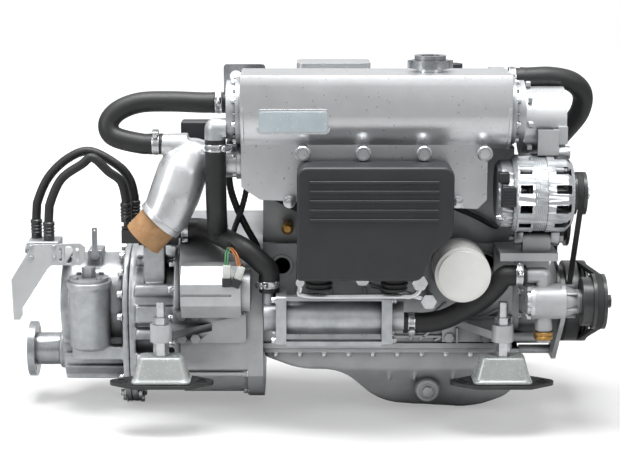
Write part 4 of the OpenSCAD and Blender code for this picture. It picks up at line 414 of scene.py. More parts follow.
def newCurve(name, points, swell=None, **settings):
    # swell: a radius factor for each point
    curve = bpy.data.curves.new(name, "CURVE")
    for setting, value in settings.items():
        setattr(curve, setting, value)
    line = curve.splines.new("POLY")
    line.points.add(len(points) - 1)
    for i, (spot, point) in enumerate(zip(line.points, points)):
        spot.co = (*point, 1)
        spot.radius = swell[i] if swell else 1
    return bpy.data.objects.new(name, curve), line


def addTube(bm, points, radius, sides, swell=None):
    holder, line = newCurve("route", points, swell, dimensions="3D", bevel_depth=radius,
                            bevel_resolution=sides // 2 - 1, use_fill_caps=True)
    mesh, curve = bpy.data.meshes.new_from_object(holder), holder.data
    bm.from_mesh(mesh)
    bpy.data.objects.remove(holder)
    bpy.data.curves.remove(curve)
    bpy.data.meshes.remove(mesh)


# ---- rubber hoses and their clamps
hoseSizes = {
    "radius": 18, "sides": 28, "steps": 10, "pinch": 0.95, "bulge": 1.03, "ends": (0, 6, 9, 19, 22, 28)}
hoseRoutes = {
    "coolantHoses": [[(-183, -140, 487), (-223, -140, 487), (-283, -140, 489), (-335, -142, 487),
        (-372, -145, 473), (-389, -149, 451), (-378, -154, 429), (-326, -160, 417), (-292, -160, 417)],
        [(312, -94, 526), (345, -94, 526), (387, -93, 527), (425, -88, 518), (447, -72, 494), (445, -52, 458),
        (419, -32, 418), (391, -12, 380), (374, 0, 356), (374, 0, 314)]],
    "rawWaterHoses": [[(-200, -212, 432.5), (-200, -212, 392.5), (-200, -204, 344.5), (-200, -188, 300.5),
        (-200, -166, 268.5), (-200, -156, 254.5)],
        [(-273, -106, 258), (-236, -106, 258), (-211, -132, 256), (-185, -168, 250), (-152, -194, 238),
        (-122, -200, 214), (-109, -200, 197), (-109, -200, 163)],
        [(125, -200, 107), (161, -200, 107), (197, -198, 113), (231, -195, 129), (261, -198, 147),
        (285, -207, 173), (302, -215, 195), (336, -215, 195)]]}


def makeHoses(name, node):
    bm = bmesh.new()
    pinch, bulge = hoseSizes["pinch"], hoseSizes["bulge"]
    collar = [1, bulge, pinch, pinch, bulge, 1]
    for route in hoseRoutes[name]:
        points = smoothRoute(route, hoseSizes["steps"])
        first, last = points[0], points[-1]
        firstWay, lastWay = (points[1] - first).normalized(), (points[-2] - last).normalized()
        starts = [first + firstWay * d for d in hoseSizes["ends"]]
        tails = [last + lastWay * d for d in reversed(hoseSizes["ends"])]
        swell = collar + [1] * (len(points) - 2) + collar
        addTube(bm, starts + points[1:-1] + tails, hoseSizes["radius"], hoseSizes["sides"], swell)
    newPiece(bm, name, "hoseRubber", node, sharp=60)


for name, node in (("coolantHoses", "coolant_hoses"), ("rawWaterHoses", "raw_water_hoses")):
    makeHoses(name, node)

clampSizes = {
    "radius": 17.4, "width": 12, "band": 1.3, "box": (15, 11.5, 7.4), "boxUp": 3.6,
    "screw": ((6, 13, 3.4, 24, 0.5), (12, 16, 4.2, 6, 0.4), (-6, -9.5, 3.0, 20, 0.5)), "notches": 40,
    "notch": (0.9, 0.6), "notchTurn": 0.25, "covered": 0.78,
    "places": [((-197, -140, 487), "x", (0, -0.75, 0.66)), ((-306, -160, 417), "x", (0, -0.3, 0.95)),
        ((318, -94, 526), "x", (0, -0.8, -0.6)), ((-200, -212, 418.5), "z", (0.8, -0.6, 0)),
        ((-261, -106, 258), "x", (0, -0.2, -0.98)), ((-109, -200, 177), "z", (-0.7, -0.7, 0)),
        ((139, -200, 107), "x", (0, -0.8, -0.6)), ((324, -215, 195), "x", (0, -0.7, 0.7)),
        ((374, 0, 334), "z", (0.7, -0.7, 0))]}


def makeClamps(sizes):
    bm = bmesh.new()
    half, outer = sizes["width"] / 2, sizes["radius"] + sizes["band"]
    band = [(-half, outer - 0.6), (-half, outer), (1 - half, outer + 0.35), (2 - half, outer), (half - 2, outer),
            (half - 1, outer + 0.35), (half, outer), (half, outer - 0.6), (half, outer - 2), (-half, outer - 2),
            (-half, outer - 0.6)]
    wide, deep = sizes["notch"]
    for centre, along, screwSide in sizes["places"]:
        centre = Vector(centre)
        axis = Vector((1, 0, 0)) if along == "x" else Vector((0, 0, 1))
        side = Vector(screwSide).normalized()
        across = axis.cross(side)
        addLathe(bm, band, centre, axis, 56)
        seat = centre + side * (outer + sizes["boxUp"])
        frameTurn = Matrix((across, axis, side)).transposed().to_4x4()
        addBlock(bm, Matrix.Translation(seat) @ frameTurn, sizes["box"], 1.8, 3)
        for start, end, radius, sides, edge in sizes["screw"]:
            addBar(bm, seat + across * start, seat + across * end, radius, sides=sides, edge=edge)
        for k in range(sizes["notches"]):
            angle = math.tau * k / sizes["notches"]
            out = side * math.cos(angle) + across * math.sin(angle)
            if out.dot(side) > sizes["covered"]:  # the screw's box stands here
                continue
            along = across * math.cos(angle) - side * math.sin(angle)
            place = (Matrix.Translation(centre + out * (outer + 0.05))
                     @ Matrix((along, axis, out)).transposed().to_4x4())
            addBlock(bm, place @ Matrix.Rotation(sizes["notchTurn"], 4, "Z"), (wide, half * 1.1, deep))
    newPiece(bm, "hoseClamps", "zincPlate", "hose_clamps")


makeClamps(clampSizes)
print("hoses and clamps made")

# ---- exhaust elbow: a water-jacketed casting, its water inlet, flange and outlet collar
elbowSizes = {
    "path": [(-150, -160, 387.5), (-190, -160, 387.5), (-210, -160, 389), (-240, -162, 390), (-261, -168, 366),
        (-273, -176, 332), (-287.4, -181, 298.1), (-301, -182, 283.5)],
    "radii": [29, 29, 32, 38, 44, 44, 41, 39.5], "sides": 64, "ballDetail": 48, "voxel": 2.0, "smooth": 16,
    "inlet": [((-324, -160, 417), (-250, -160, 417), 15.5), ((-300, -160, 417), (-250, -160, 415), 18, 22)],
    "flange": ((-166, -160, 387.5), (-156.2, -160, 387.5), 32),
    "collar": ((-293, -182, 292.1), (-300.5, -182, 284), 41.5), "boltCircle": 26,
    "boltAngles": (20, 90, 160, 230, 310), "bolt": (8, 5)}


def makeElbow(sizes):
    bm = bmesh.new()
    path, radii = [Vector(p) for p in sizes["path"]], sizes["radii"]
    for i in range(len(path) - 1):
        addBar(bm, path[i], path[i + 1], radii[i], radii[i + 1], sides=sizes["sides"])
        if i:
            addBall(bm, path[i], radii[i], sizes["ballDetail"])
    for bar in sizes["inlet"]:
        addBar(bm, *bar)
    newPiece(bm, "exhaustElbow", "silverPaintSmooth", "exhaust_elbow", voxel=sizes["voxel"], smooth=sizes["smooth"])
    bm = bmesh.new()
    addBar(bm, *sizes["flange"], sides=56, edge=1.2)
    addBar(bm, *sizes["collar"], sides=64, edge=1.5)
    x, *middle = sizes["flange"][0]
    for y, z in ringSpots(middle, sizes["boltCircle"], sizes["boltAngles"]):
        addBolt(bm, (x, y, z), (-1, 0, 0), *sizes["bolt"])
    newPiece(bm, "elbowFlange", "silverPaintSmooth")


makeElbow(elbowSizes)
print("elbow made")

# ---- air intake boots: moulded rubber with two deep ridges, and the ducts behind them
bootSizes = {
    "places": (-23, 106), "out": -263, "top": 204.5, "ductHeight": 189.5, "ductRadius": 12.4,
    "ductSwell": 0.06, "ductStops": (-263, -243, -193, -140.5, -110.5),
    "profile": [(0, 0), (0, 22), (1, 23.6), (4, 23.6), (6, 22), (7, 19.5), (9, 19.5), (10, 22), (11.5, 23.8),
        (13.5, 23.8), (15, 22), (16, 19.5), (18, 19.5), (19, 22), (20, 23), (23, 22), (26, 18), (27.6, 11),
        (28, 0)]}


def makeBoots(sizes):
    bm = bmesh.new()
    for x in sizes["places"]:
        addLathe(bm, sizes["profile"], (x, sizes["out"], sizes["top"]), (0, 0, -1), 56)
        points = smoothRoute([(x, y, sizes["ductHeight"]) for y in sizes["ductStops"]], 12)
        swell = [1 + sizes["ductSwell"] * (k % 3 == 0) for k in range(len(points))]
        addTube(bm, points, sizes["ductRadius"], 24, swell)
    newPiece(bm, "airBoots", "hoseRubber", "air_boots", sharp=50)


makeBoots(bootSizes)

# ---- V-belts: wrapped rubber of tapered section
# each belt: its x, then the y, z and radius of each pulley that it runs round
beltSizes = {
    "height": 8, "width": 10, "inner": 6.6, "arcSteps": 26,
    "belts": [(425, [(-200, 337, 37), (0, 100, 75), (0, 260, 55)]), (461, [(-215, 149, 48), (0, 100, 75)])]}


def beltPath(stops, shrink, steps):
    # arcs round the pulleys joined by their outer tangents
    leans = []
    for i, (ay, az, ar) in enumerate(stops):
        by, bz, br = stops[(i + 1) % len(stops)]
        base, span = math.atan2(bz - az, by - ay), math.hypot(by - ay, bz - az)
        leans.append(base - math.pi / 2 + math.asin((ar - br) / span))
    path = []
    for i, (y, z, r) in enumerate(stops):
        first, last = leans[i - 1], leans[i]
        while last < first:
            last += math.tau
        for k in range(steps + 1):
            angle = first + (last - first) * k / steps
            path.append(Vector((y + (r - shrink) * math.cos(angle), z + (r - shrink) * math.sin(angle), 0)))
    return path


def makeBelts(sizes):
    bm = bmesh.new()
    half, wide, narrow = sizes["height"] / 2, sizes["width"] / 2, sizes["inner"] / 2
    corners = [(-half, -wide, 0), (-half, wide, 0), (half, narrow, 0), (half, -narrow, 0)]
    for x, stops in sizes["belts"]:
        section, line = newCurve("section", corners)
        belt, track = newCurve("belt", beltPath(stops, half, sizes["arcSteps"]), dimensions="2D", fill_mode="NONE",
                               bevel_mode="OBJECT", bevel_object=section)
        line.use_cyclic_u = track.use_cyclic_u = True
        scene.collection.objects.link(section)
        scene.collection.objects.link(belt)
        bpy.context.view_layer.update()
        mesh = bpy.data.meshes.new_from_object(belt.evaluated_get(bpy.context.evaluated_depsgraph_get()))
        mesh.transform(Matrix(((0, 0, 1, x), (1, 0, 0, 0), (0, 1, 0, 0), (0, 0, 0, 1))))
        bm.from_mesh(mesh)
        bpy.data.objects.remove(belt)
        bpy.data.objects.remove(section)
        bpy.data.meshes.remove(mesh)
    newPiece(bm, "driveBelts", "beltRubber", "drive_belts", sharp=40)


makeBelts(beltSizes)

# ---- gearbox oil hoses: crimped ferrules, swivel nuts and the valve block that they leave from
oilHoseSizes = {
    "radius": 8, "feet": (234, 256), "ferrule": 26,
    "crimp": [(-1, 0), (-1, 8), (0, 9.6), (3, 10.4), (4, 9.4), (6, 9.4), (7, 10.4), (9, 10.4), (10, 9.4),
        (12, 9.4), (13, 10.4), (15, 10.4), (16, 9.4), (18, 9.4), (19, 10.6), (24, 10.6), (26, 9), (26.5, 0)],
    "stem": 5, "nut": (9, 10.4), "footNut": (5, 9.5), "block": ((-544, -114, 196), (-487, -59, 234)),
    "blockPlug": ((-551, -86, 216), (-543, -86, 216), 9), "blockBoltX": (-536, -495), "blockBoltZ": (206, 225),
    "routes": [[(-532, -72, 268), (-530, -72, 296), (-508, -72, 344), (-470, -77, 380), (-430.5, -77, 392),
        (-383, -82, 368), (-361, -82, 342), (-353, -82, 310), (-353, -82, 304)],
        [(-506, -98, 268), (-504, -98, 296), (-482, -98, 344), (-444, -102, 372), (-424, -102, 384),
        (-396, -106, 360), (-374, -106, 342), (-366, -106, 310), (-366, -106, 304)]]}


def makeOilHoses(sizes):
    bm = bmesh.new()
    for route in sizes["routes"]:
        addTube(bm, smoothRoute(route, 10), sizes["radius"], 24)
    newPiece(bm, "oilHoses", "hoseRubber", "gearbox_hoses", sharp=60)
    bm = bmesh.new()
    (nutHeight, nutRadius), (footHeight, footRadius) = sizes["nut"], sizes["footNut"]
    for route in sizes["routes"]:
        for (x, y, z), foot in zip((route[0], route[-1]), sizes["feet"]):
            base = z - sizes["ferrule"]
            addLathe(bm, sizes["crimp"], (x, y, base), (0, 0, 1), 32)
            addBar(bm, (x, y, foot), (x, y, base), sizes["stem"], sides=24)
            addBar(bm, (x, y, base - nutHeight), (x, y, base), nutRadius, sides=6, edge=0.8)
            addBar(bm, (x, y, foot), (x, y, foot + footHeight), footRadius, sides=6, edge=0.8, spin=0.4)
    newPiece(bm, "oilHoseEnds", "blackStovedPaint")
    bm = bmesh.new()
    low, high = sizes["block"]
    addBox(bm, low, high, 2.5, 3)
    addBar(bm, *sizes["blockPlug"], sides=6, edge=0.8)
    for x in sizes["blockBoltX"]:
        for z in sizes["blockBoltZ"]:
            addBolt(bm, (x, low[1], z), (0, -1, 0), 8, 5)
    newPiece(bm, "valveBlock", "castAluminium", sharp=38, bevel=0.6)


makeOilHoses(oilHoseSizes)
print("boots, belts and oil hoses made")

# ---- bare name plate on the tank's front: lacquered sheet in a frame
# each layer: name, paint, inset, lift and thickness
plateSizes = {
    "low": (-129, 444), "high": (-4, 488), "corner": 9, "depth": -241.5, "lean": 0.13,
    "layers": (("plateFrame", "zincPlate", 0, 0, 5), ("plateFace", "pearlSheet", 4, -3.2, 3))}


def makeNamePlate(sizes):
    for name, paint, inset, lift, thick in sizes["layers"]:
        bm = bmesh.new()
        low = (sizes["low"][0] + inset, sizes["low"][1] + inset)
        high = (sizes["high"][0] - inset, sizes["high"][1] - inset)
        outline = roundedOutline(low, high, sizes["corner"] - inset / 2, 8)
        middle = (low[1] + high[1]) / 2
        leant = [(a, sizes["depth"] + lift - (b - middle) * sizes["lean"], b) for a, b in outline]
        addPlate(bm, leant, (0, thick, 0))
        newPiece(bm, name, paint, sharp=30, bevel=0.7)


makeNamePlate(plateSizes)


# ---- air box: one moulded shell with a rounded front and raised beads, and a thin core box inside it where the filter stands
airBoxSizes = {
    "outline": [(-46, 204.5, 20), (149, 204.5, 12), (158, 228, 30), (168, 254, 40), (203, 282.5, 16),
        (203, 398.5, 20), (-60, 398.5, 20), (-60, 204.5, 20)],
    "back": -234.5, "front": -306.4, "round": 11, "beads": (309, 325, 341, 357, 373), "beadEnds": (-39, 178),
    "bead": (3.4, 2, 2.8), "core": ((-52, -262.4, 204.7), (146, -258.4, 398.4)),
    "lugs": ((-73, 327), (214, 327)), "lugY": (-214, -232), "lugRadius": 11}


def filletOutline(corners, steps):
    outline = []
    count = len(corners)
    for i, (x, z, radius) in enumerate(corners):
        here = Vector((x, z))
        before = (Vector(corners[i - 1][:2]) - here)
        after = (Vector(corners[(i + 1) % count][:2]) - here)
        reach = min(radius, before.length * 0.48, after.length * 0.48)
        start, end = here + before.normalized() * reach, here + after.normalized() * reach
        for k in range(steps + 1):
            t = k / steps
            point = start * (1 - t) ** 2 + here * 2 * t * (1 - t) + end * t ** 2
            outline.append((point.x, point.y))
    return outline


def makeAirBox(sizes):
    bm = bmesh.new()
    outline = filletOutline(sizes["outline"], 6)
    addPlate(bm, [(x, sizes["back"], z) for x, z in outline], (0, sizes["front"] - sizes["back"], 0))
    frontEdges = [e for e in bm.edges if all(abs(v.co.y - sizes["front"]) < 0.01 for v in e.verts)]
    bmesh.ops.bevel(bm, geom=frontEdges, offset=sizes["round"], offset_type="OFFSET", segments=5, profile=0.5,
                    affect="EDGES", clamp_overlap=True, material=-1)
    (left, right), (proud, sunk, half) = sizes["beadEnds"], sizes["bead"]
    for z in sizes["beads"]:
        addBox(bm, (left, sizes["front"] - proud, z - half), (right, sizes["front"] + sunk, z + half), 1.6, 3)
    addBox(bm, *sizes["core"], 1, 2)
    newPiece(bm, "airBoxShell", "mouldedBlackPlastic", "air_box", sharp=32)
    bm = bmesh.new()
    start, end = sizes["lugY"]
    for x, z in sizes["lugs"]:
        addBar(bm, (x, start, z), (x, end, z), sizes["lugRadius"], sides=40, edge=1)
        addBolt(bm, (x, end, z), (0, -1, 0), 12, 8)
    newPiece(bm, "airBoxLugs", "zincPlate")


makeAirBox(airBoxSizes)

# ---- gearbox halves: cast skins with ribs, bolt bosses and soft fillets
housingSizes = {
    "front": {"node": "gearbox_front", "body": (-354, -282, 112, 74), "flange": (-366, -354, 108, 98),
        "ribOut": 5, "ribs": (-30, 12, 52, 92, 136),
        "bosses": ((-112, 146, 11), (-104, 62, 11), (-97, 14, 11), (-70, 190, 11), (-88, -28, 10)),
        "boxes": (((-337, -102, 156), (-299, -70, 224)), ((-352, -116, 84), (-284, -88, 116)))},
    "rear": {"node": "gearbox_rear", "body": (-490, -378, 92, 56), "flange": (-378, -366, 108, 98),
        "ribOut": 6, "ribs": (-36, -12, 14, 40), "bosses": (),
        "boxes": (((-490, -25, 100), (-476, 25, 192)), ((-444, -50, 100), (-417, 0, 206)),
        ((-470, -98, 12), (-380, -60, 36)))},
    "mate": (-282, -270.5, 138), "seal": (-503, -489, 36),
    "pot": ((-437, -95), [(39, 159.8, 36.4, 36.4), (31, 40, 23, 35), (147.8, 159.8, 40, 40)]), "voxel": 2.2,
    "smooth": 5, "axes": (100, 8), "steps": 40}


def gearOutline(topRadius, lowRadius):
    # half a circle round each of the two shafts
    outline, steps = [], housingSizes["steps"]
    for start, height, radius in zip((0, 1), housingSizes["axes"], (topRadius, lowRadius)):
        for k in range(steps + 1):
            angle = math.pi * (start + k / steps)
            outline.append((radius * math.cos(angle), height + radius * math.sin(angle)))
    return outline


def addHousing(bm, sizes):
    x0, x1, topRadius, lowRadius = sizes["body"]
    top, low = housingSizes["axes"]
    for start, end, outline in ((x0 - 1, x1 + 1, gearOutline(topRadius - 1.5, lowRadius - 1.5)),
                                (*sizes["flange"][:2], gearOutline(*sizes["flange"][2:]))):
        addPlate(bm, [(start, y, z) for y, z in outline], (end - start, 0, 0))
    for z in sizes["ribs"]:
        if z > top:
            half = math.sqrt(topRadius ** 2 - (z - top) ** 2)
        elif z > low:
            half = lowRadius + (topRadius - lowRadius) * (z - low) / (top - low)
        else:
            half = math.sqrt(lowRadius ** 2 - (z - low) ** 2)
        addBox(bm, (x0, -half - sizes["ribOut"], z - 3), (x1, half + sizes["ribOut"], z + 3))
    for y, z, radius in sizes["bosses"]:
        for side in (y, -y):
            addBar(bm, (x0 + 2, side, z), (x1 - 2, side, z), radius, sides=32)
    for corners in sizes["boxes"]:
        addBox(bm, *corners)


def makeGearbox(sizes):
    top, low = sizes["axes"]
    for half, name, round, height, sides in (("front", "gearboxFrontCase", "mate", top, 80),
                                             ("rear", "gearboxRearCase", "seal", low, 56)):
        bm = bmesh.new()
        addHousing(bm, sizes[half])
        x0, x1, radius = sizes[round]
        addBar(bm, (x0, 0, height), (x1, 0, height), radius, sides=sides)
        if half == "rear":
            (x, y), rings = sizes["pot"]
            for start, end, firstRadius, lastRadius in rings:
                addBar(bm, (x, y, start), (x, y, end), firstRadius, lastRadius, sides=64)
        newPiece(bm, name, "castAluminium", sizes[half]["node"], voxel=sizes["voxel"], smooth=sizes["smooth"])


makeGearbox(housingSizes)
print("air box and gearbox made")

# ---- fasteners: hexagon heads round every joint
# circles: x, way, the circle's y and z, radius, first and last angle, count, flats and height
# rows: all x, y and z places, the bolts' way, flats and height
boltSizes = {
    "split": [(-378, -1, (0, 100), 101, -4, 184, 9, 12, 7), (-378, -1, (0, 8), 91, 200, 340, 6, 12, 7)],
    "nut": (-354, -347, 8.5),
    "circles": [(-282, -1, (0, 100), 129, -24, 204, 11, 13, 8), (-150, -1, (0, 100), 168, 218, 322, 5, 13, 8),
        (338, 1, (0, 100), 104, 158, 206, 3, 10, 7), (338, 1, (0, 250), 68, 60, 170, 4, 10, 7),
        (403, 1, (0, 260), 34, 30, 330, 5, 9, 6)],
    "rows": [((-100, -56, -12, 32, 76, 120, 164, 208, 252, 296), (-109, 109), (30,), (0, 0, -1), 9, 6),
        ((-97,), (-232, -168), (83, 155), (-1, 0, 0), 10, 6),
        ((104,), (-232, -168), (83, 155), (1, 0, 0), 10, 6),
        ((-90, 0, 100, 200, 290), (-82, 82), (496,), (0, 0, 1), 10, 6)]}


def makeBolts(sizes):
    bm = bmesh.new()
    start, end, radius = sizes["nut"]
    for circles in ("split", "circles"):
        for x, way, centre, *arc, flats, height in sizes[circles]:
            for y, z in arcSpots(centre, *arc):
                addBolt(bm, (x, y, z), (way, 0, 0), flats, height)
                if circles == "split":  # the gearbox halves' bolts have nuts behind the flange
                    addBar(bm, (start, y, z), (end, y, z), radius, sides=28, edge=1)
    for columns, depths, heights, way, flats, height in sizes["rows"]:
        for x in columns:
            for y in depths:
                for z in heights:
                    addBolt(bm, (x, y, z), way, flats, height)
    newPiece(bm, "flangeBolts", "zincPlate")


makeBolts(boltSizes)

# ---- tank: socket plugs in the bosses, flange rings with their bolts at both ends
tankSizes = {
    "bosses": (-50.5, 52.5, 155.5, 258.5), "bossHeight": 412, "plugFace": -243, "centre": (-178, 478),
    "ends": ((-156, -1), (304, 1)),
    "ring": [(-6, 60), (-6, 66.3), (-5, 67.2), (-1, 67.2), (0, 66.3), (1.5, 60), (-6, 60)], "boltCircle": 53,
    "boltAngles": (20, 65, 110, 155, 200, 245, 290, 335), "boltOut": 9,
    "plug": [(-1, 0), (-1, 13.2), (2.2, 13.2), (3.6, 11.8), (3.6, 8.6), (1.8, 8), (1.8, 5.4), (0.2, 5),
        (0.2, 0)]}


def makeTankTrim(sizes):
    bm = bmesh.new()
    for x in sizes["bosses"]:
        addLathe(bm, sizes["plug"], (x, sizes["plugFace"], sizes["bossHeight"]), (0, -1, 0), 40)
    newPiece(bm, "tankPlugs", "zincPlate", sharp=30)
    bm = bmesh.new()
    for x, way in sizes["ends"]:
        addLathe(bm, sizes["ring"], (x, *sizes["centre"]), (way, 0, 0), 96)
        for y, z in ringSpots(sizes["centre"], sizes["boltCircle"], sizes["boltAngles"]):
            addBolt(bm, (x + way * sizes["boltOut"], y, z), (way, 0, 0), 8, 5)
    newPiece(bm, "tankRings", "silverPaintSmooth", sharp=32)


makeTankTrim(tankSizes)

# ---- alternator trim: stator laminations, through bolts, rear connector and pulley nut
alternatorSizes = {
    "centre": (-200, 337), "stator": (343.2, 365.8), "radius": 65.4, "groove": 1.2, "inner": 56, "grooves": 7,
    "boltCircle": 60, "boltAngles": (40, 130, 220, 310), "boltOut": 26, "boltRadius": 6.5,
    "boxes": (((286, -266, 323), (309, -240, 359), 2.5, 3), ((282.5, -256, 363), (300, -234, 381), 2, 3)),
    "rib": ((288, -267, 326), (306, -264, 328.5)), "ribs": 6, "ribPitch": 5,
    "stud": ((292, -244, 303), 279.4, 3), "shaftNut": (436, 444, 11)}


def makeAlternatorTrim(sizes):
    y, z = sizes["centre"]
    x0, x1 = sizes["stator"]
    radius, sunk, inner = sizes["radius"], sizes["radius"] - sizes["groove"], sizes["inner"]
    step = (x1 - x0) / sizes["grooves"]
    profile, groove = [(0, inner)], ((0, radius), (0.7, radius), (0.75, sunk), (0.98, sunk))
    for k in range(sizes["grooves"]):
        profile += [(k * step + step * share, r) for share, r in groove]
    profile += [(x1 - x0, inner), (0, inner)]
    bm = bmesh.new()
    addLathe(bm, profile, (x0, y, z), (1, 0, 0), 72)
    for by, bz in ringSpots((y, z), sizes["boltCircle"], sizes["boltAngles"]):
        end = x1 + sizes["boltOut"]
        addBar(bm, (x0 - sizes["boltOut"], by, bz), (end, by, bz), sizes["boltRadius"], sides=24, edge=0.8)
        addBolt(bm, (end, by, bz), (1, 0, 0), 8, 5)
    newPiece(bm, "statorStack", "castAluminium", sharp=30)
    bm = bmesh.new()
    for box in sizes["boxes"]:
        addBox(bm, *box)
    for k in range(sizes["ribs"]):
        low, high = [Vector(corner) + Vector((0, 0, k * sizes["ribPitch"])) for corner in sizes["rib"]]
        addBox(bm, low, high, 0.6, 2)
    newPiece(bm, "alternatorConnector", "mouldedBlackPlastic")
    bm = bmesh.new()
    seat, tip, radius = sizes["stud"]
    addBolt(bm, seat, (-1, 0, 0), 10, 7)
    addBar(bm, seat, (tip, *seat[1:]), radius, sides=16, edge=0.5)
    start, end, radius = sizes["shaftNut"]
    addBar(bm, (start, y, z), (end, y, z), radius, sides=6, edge=1)
    newPiece(bm, "alternatorStud", "zincPlate")


makeAlternatorTrim(alternatorSizes)

# ---- raw-water pump trim: cone with gussets behind the hub, cover bolts and brass inlet ring
pumpSizes = {
    "centre": (-215, 149), "coneX": 396, "cone": [(0, 0), (0, 29), (4, 29), (26, 21.5), (32, 21.5), (32, 0)],
    "gusset": (27, 10, 4), "gussetX": 410, "gussetOut": 24, "gussetTurn": 20, "pitch": 60, "boltX": 350.4,
    "boltCircle": 27, "inlet": (369, -215, 82),
    "ring": [(0, 12), (0, 15.6), (1, 16.4), (6, 16.4), (7, 15.6), (8, 16.4), (13, 16.4), (14, 15.6), (14, 12),
        (0, 12)]}


def makePumpTrim(sizes):
    y, z = sizes["centre"]
    angles = range(0, 360, sizes["pitch"])
    bm = bmesh.new()
    addLathe(bm, sizes["cone"], (sizes["coneX"], y, z), (1, 0, 0), 56)
    for angle in angles:
        turn = Matrix.Rotation(math.radians(angle + sizes["gussetTurn"]), 4, "X")
        addBlock(bm, Matrix.Translation((sizes["gussetX"], y, z)) @ turn
                 @ Matrix.Translation((0, sizes["gussetOut"], 0)), sizes["gusset"], 1, 2)
    for by, bz in ringSpots((y, z), sizes["boltCircle"], angles):
        addBolt(bm, (sizes["boltX"], by, bz), (-1, 0, 0), 7, 12)
    newPiece(bm, "pumpCone", "silverCastingShaded")
    bm = bmesh.new()
    addLathe(bm, sizes["ring"], sizes["inlet"], (0, 0, 1), 44)
    newPiece(bm, "inletRing", "agedBrass")


makePumpTrim(pumpSizes)

# ---- resilient mounts: pressed domes and base plates with tapered rounded tips
# each dome layer: half sizes in x and y, low and high z, shrink towards the top, and the top corners' radius
mountSizes = {
    "places": ((-298, -215), (298, -215), (-298, 215), (298, 215)), "tip": (75.5, 15.5),
    "corner": (44, 23, 14), "plate": (0, 6),
    "domes": ((40, 19, 6, 12, 0, 12), (37, 16, 11, 45, 9, 12), (28, 11, 44, 52, 0, 10)), "domeRadius": 12,
    "shrinkY": 0.6, "eyelet": [(0, 6.6), (0, 11), (1.2, 11), (1.6, 10.2), (1.6, 6.6), (0, 6.6)],
    "eyeletAt": (70, 5.6), "voxel": 1.6, "smooth": 8}


def addHull(bm, rings):
    # rings: (x, y, z, radius) circles wrapped in one skin
    made = []
    for x, y, z, radius in rings:
        made += bmesh.ops.create_circle(bm, segments=28, radius=radius,
                                        matrix=Matrix.Translation((x, y, z)))["verts"]
    hull = bmesh.ops.convex_hull(bm, input=made)
    bmesh.ops.delete(bm, geom=[v for v in hull["geom_interior"] if isinstance(v, bmesh.types.BMVert)],
                     context="VERTS")


def makeMounts(sizes):
    plates, domes, eyelets = bmesh.new(), bmesh.new(), bmesh.new()
    tip, tipRadius = sizes["tip"]
    cornerX, cornerY, cornerRadius = sizes["corner"]
    eyeletX, eyeletZ = sizes["eyeletAt"]
    signs = [(a, b) for a in (-1, 1) for b in (-1, 1)]
    for x, y in sizes["places"]:
        rings = [(x + side * tip, y, z, tipRadius) for side in (-1, 1) for z in sizes["plate"]]
        rings += [(x + a * cornerX, y + b * cornerY, z, cornerRadius) for a, b in signs for z in sizes["plate"]]
        addHull(plates, rings)
        for halfX, halfY, low, high, shrink, radius in sizes["domes"]:
            topX, topY = halfX - shrink, halfY - shrink * sizes["shrinkY"]
            rings = [(x + a * halfX, y + b * halfY, low, sizes["domeRadius"]) for a, b in signs]
            addHull(domes, rings + [(x + a * topX, y + b * topY, high, radius) for a, b in signs])
        for side in (-1, 1):
            addLathe(eyelets, sizes["eyelet"], (x + side * eyeletX, y, eyeletZ), (0, 0, 1), 32)
    newPiece(plates, "mountPlates", "mountBlack", "mount_bases", sharp=40, bevel=1.2)
    newPiece(domes, "mountCaps", "mountGrey", "mount_domes", voxel=sizes["voxel"], smooth=sizes["smooth"])
    newPiece(eyelets, "mountEyelets", "mountBlack")


makeMounts(mountSizes)
print("bolts, trims and mounts made")

# ---- wiring: conduits behind the hoses, two plugs over the starter and the relay box on its bracket
# each conduit: its radius and its route
wiringSizes = {
    "conduits": [(6, [(-119, -88, 430), (-150, -97, 429), (-176, -104, 418), (-182, -112, 392),
        (-180, -122, 340), (-168, -128, 300), (-150, -128, 262), (-132, -124, 226), (-128, -118, 190)]),
        (7, [(-121, -92, 352), (-132, -106, 348), (-118, -120, 330), (-88, -124, 312), (-56, -122, 296),
        (-24, -114, 289), (-10, -93, 286)]), (5, [(-119, -80, 412), (-148, -102, 410), (-156, -116, 380),
        (-150, -122, 340), (-158, -130, 300), (-170, -150, 268), (-176, -180, 250), (-178, -206, 242)]),
        (4.5, [(196, -93, 304), (208, -110, 300), (232, -118, 292), (258, -116, 280), (286, -110, 264),
        (296, -93, 258)])],
    "wires": {"greenWire": [(-178, -206, 242), (-181, -218, 236), (-182, -226, 226), (-182, -228, 216)],
        "orangeWire": [(-176, -206, 242), (-168, -219, 236), (-163, -226, 226), (-160, -229, 214)]},
    "plugs": (((-188, -234, 192), (-175, -222, 216), 0.0), ((-166, -235, 190), (-153, -223, 214), 0.35)),
    "capOut": 1.5, "capZ": (-14, 2), "ridge": 0.05, "wireRadius": 1.5, "pair": (-2.2, 2.2),
    "relay": (((-270, -62, 404), (-214, -26, 444), 5, 4), ((-216, -48, 416), (-117.5, -44, 438), 0.8, 2))}


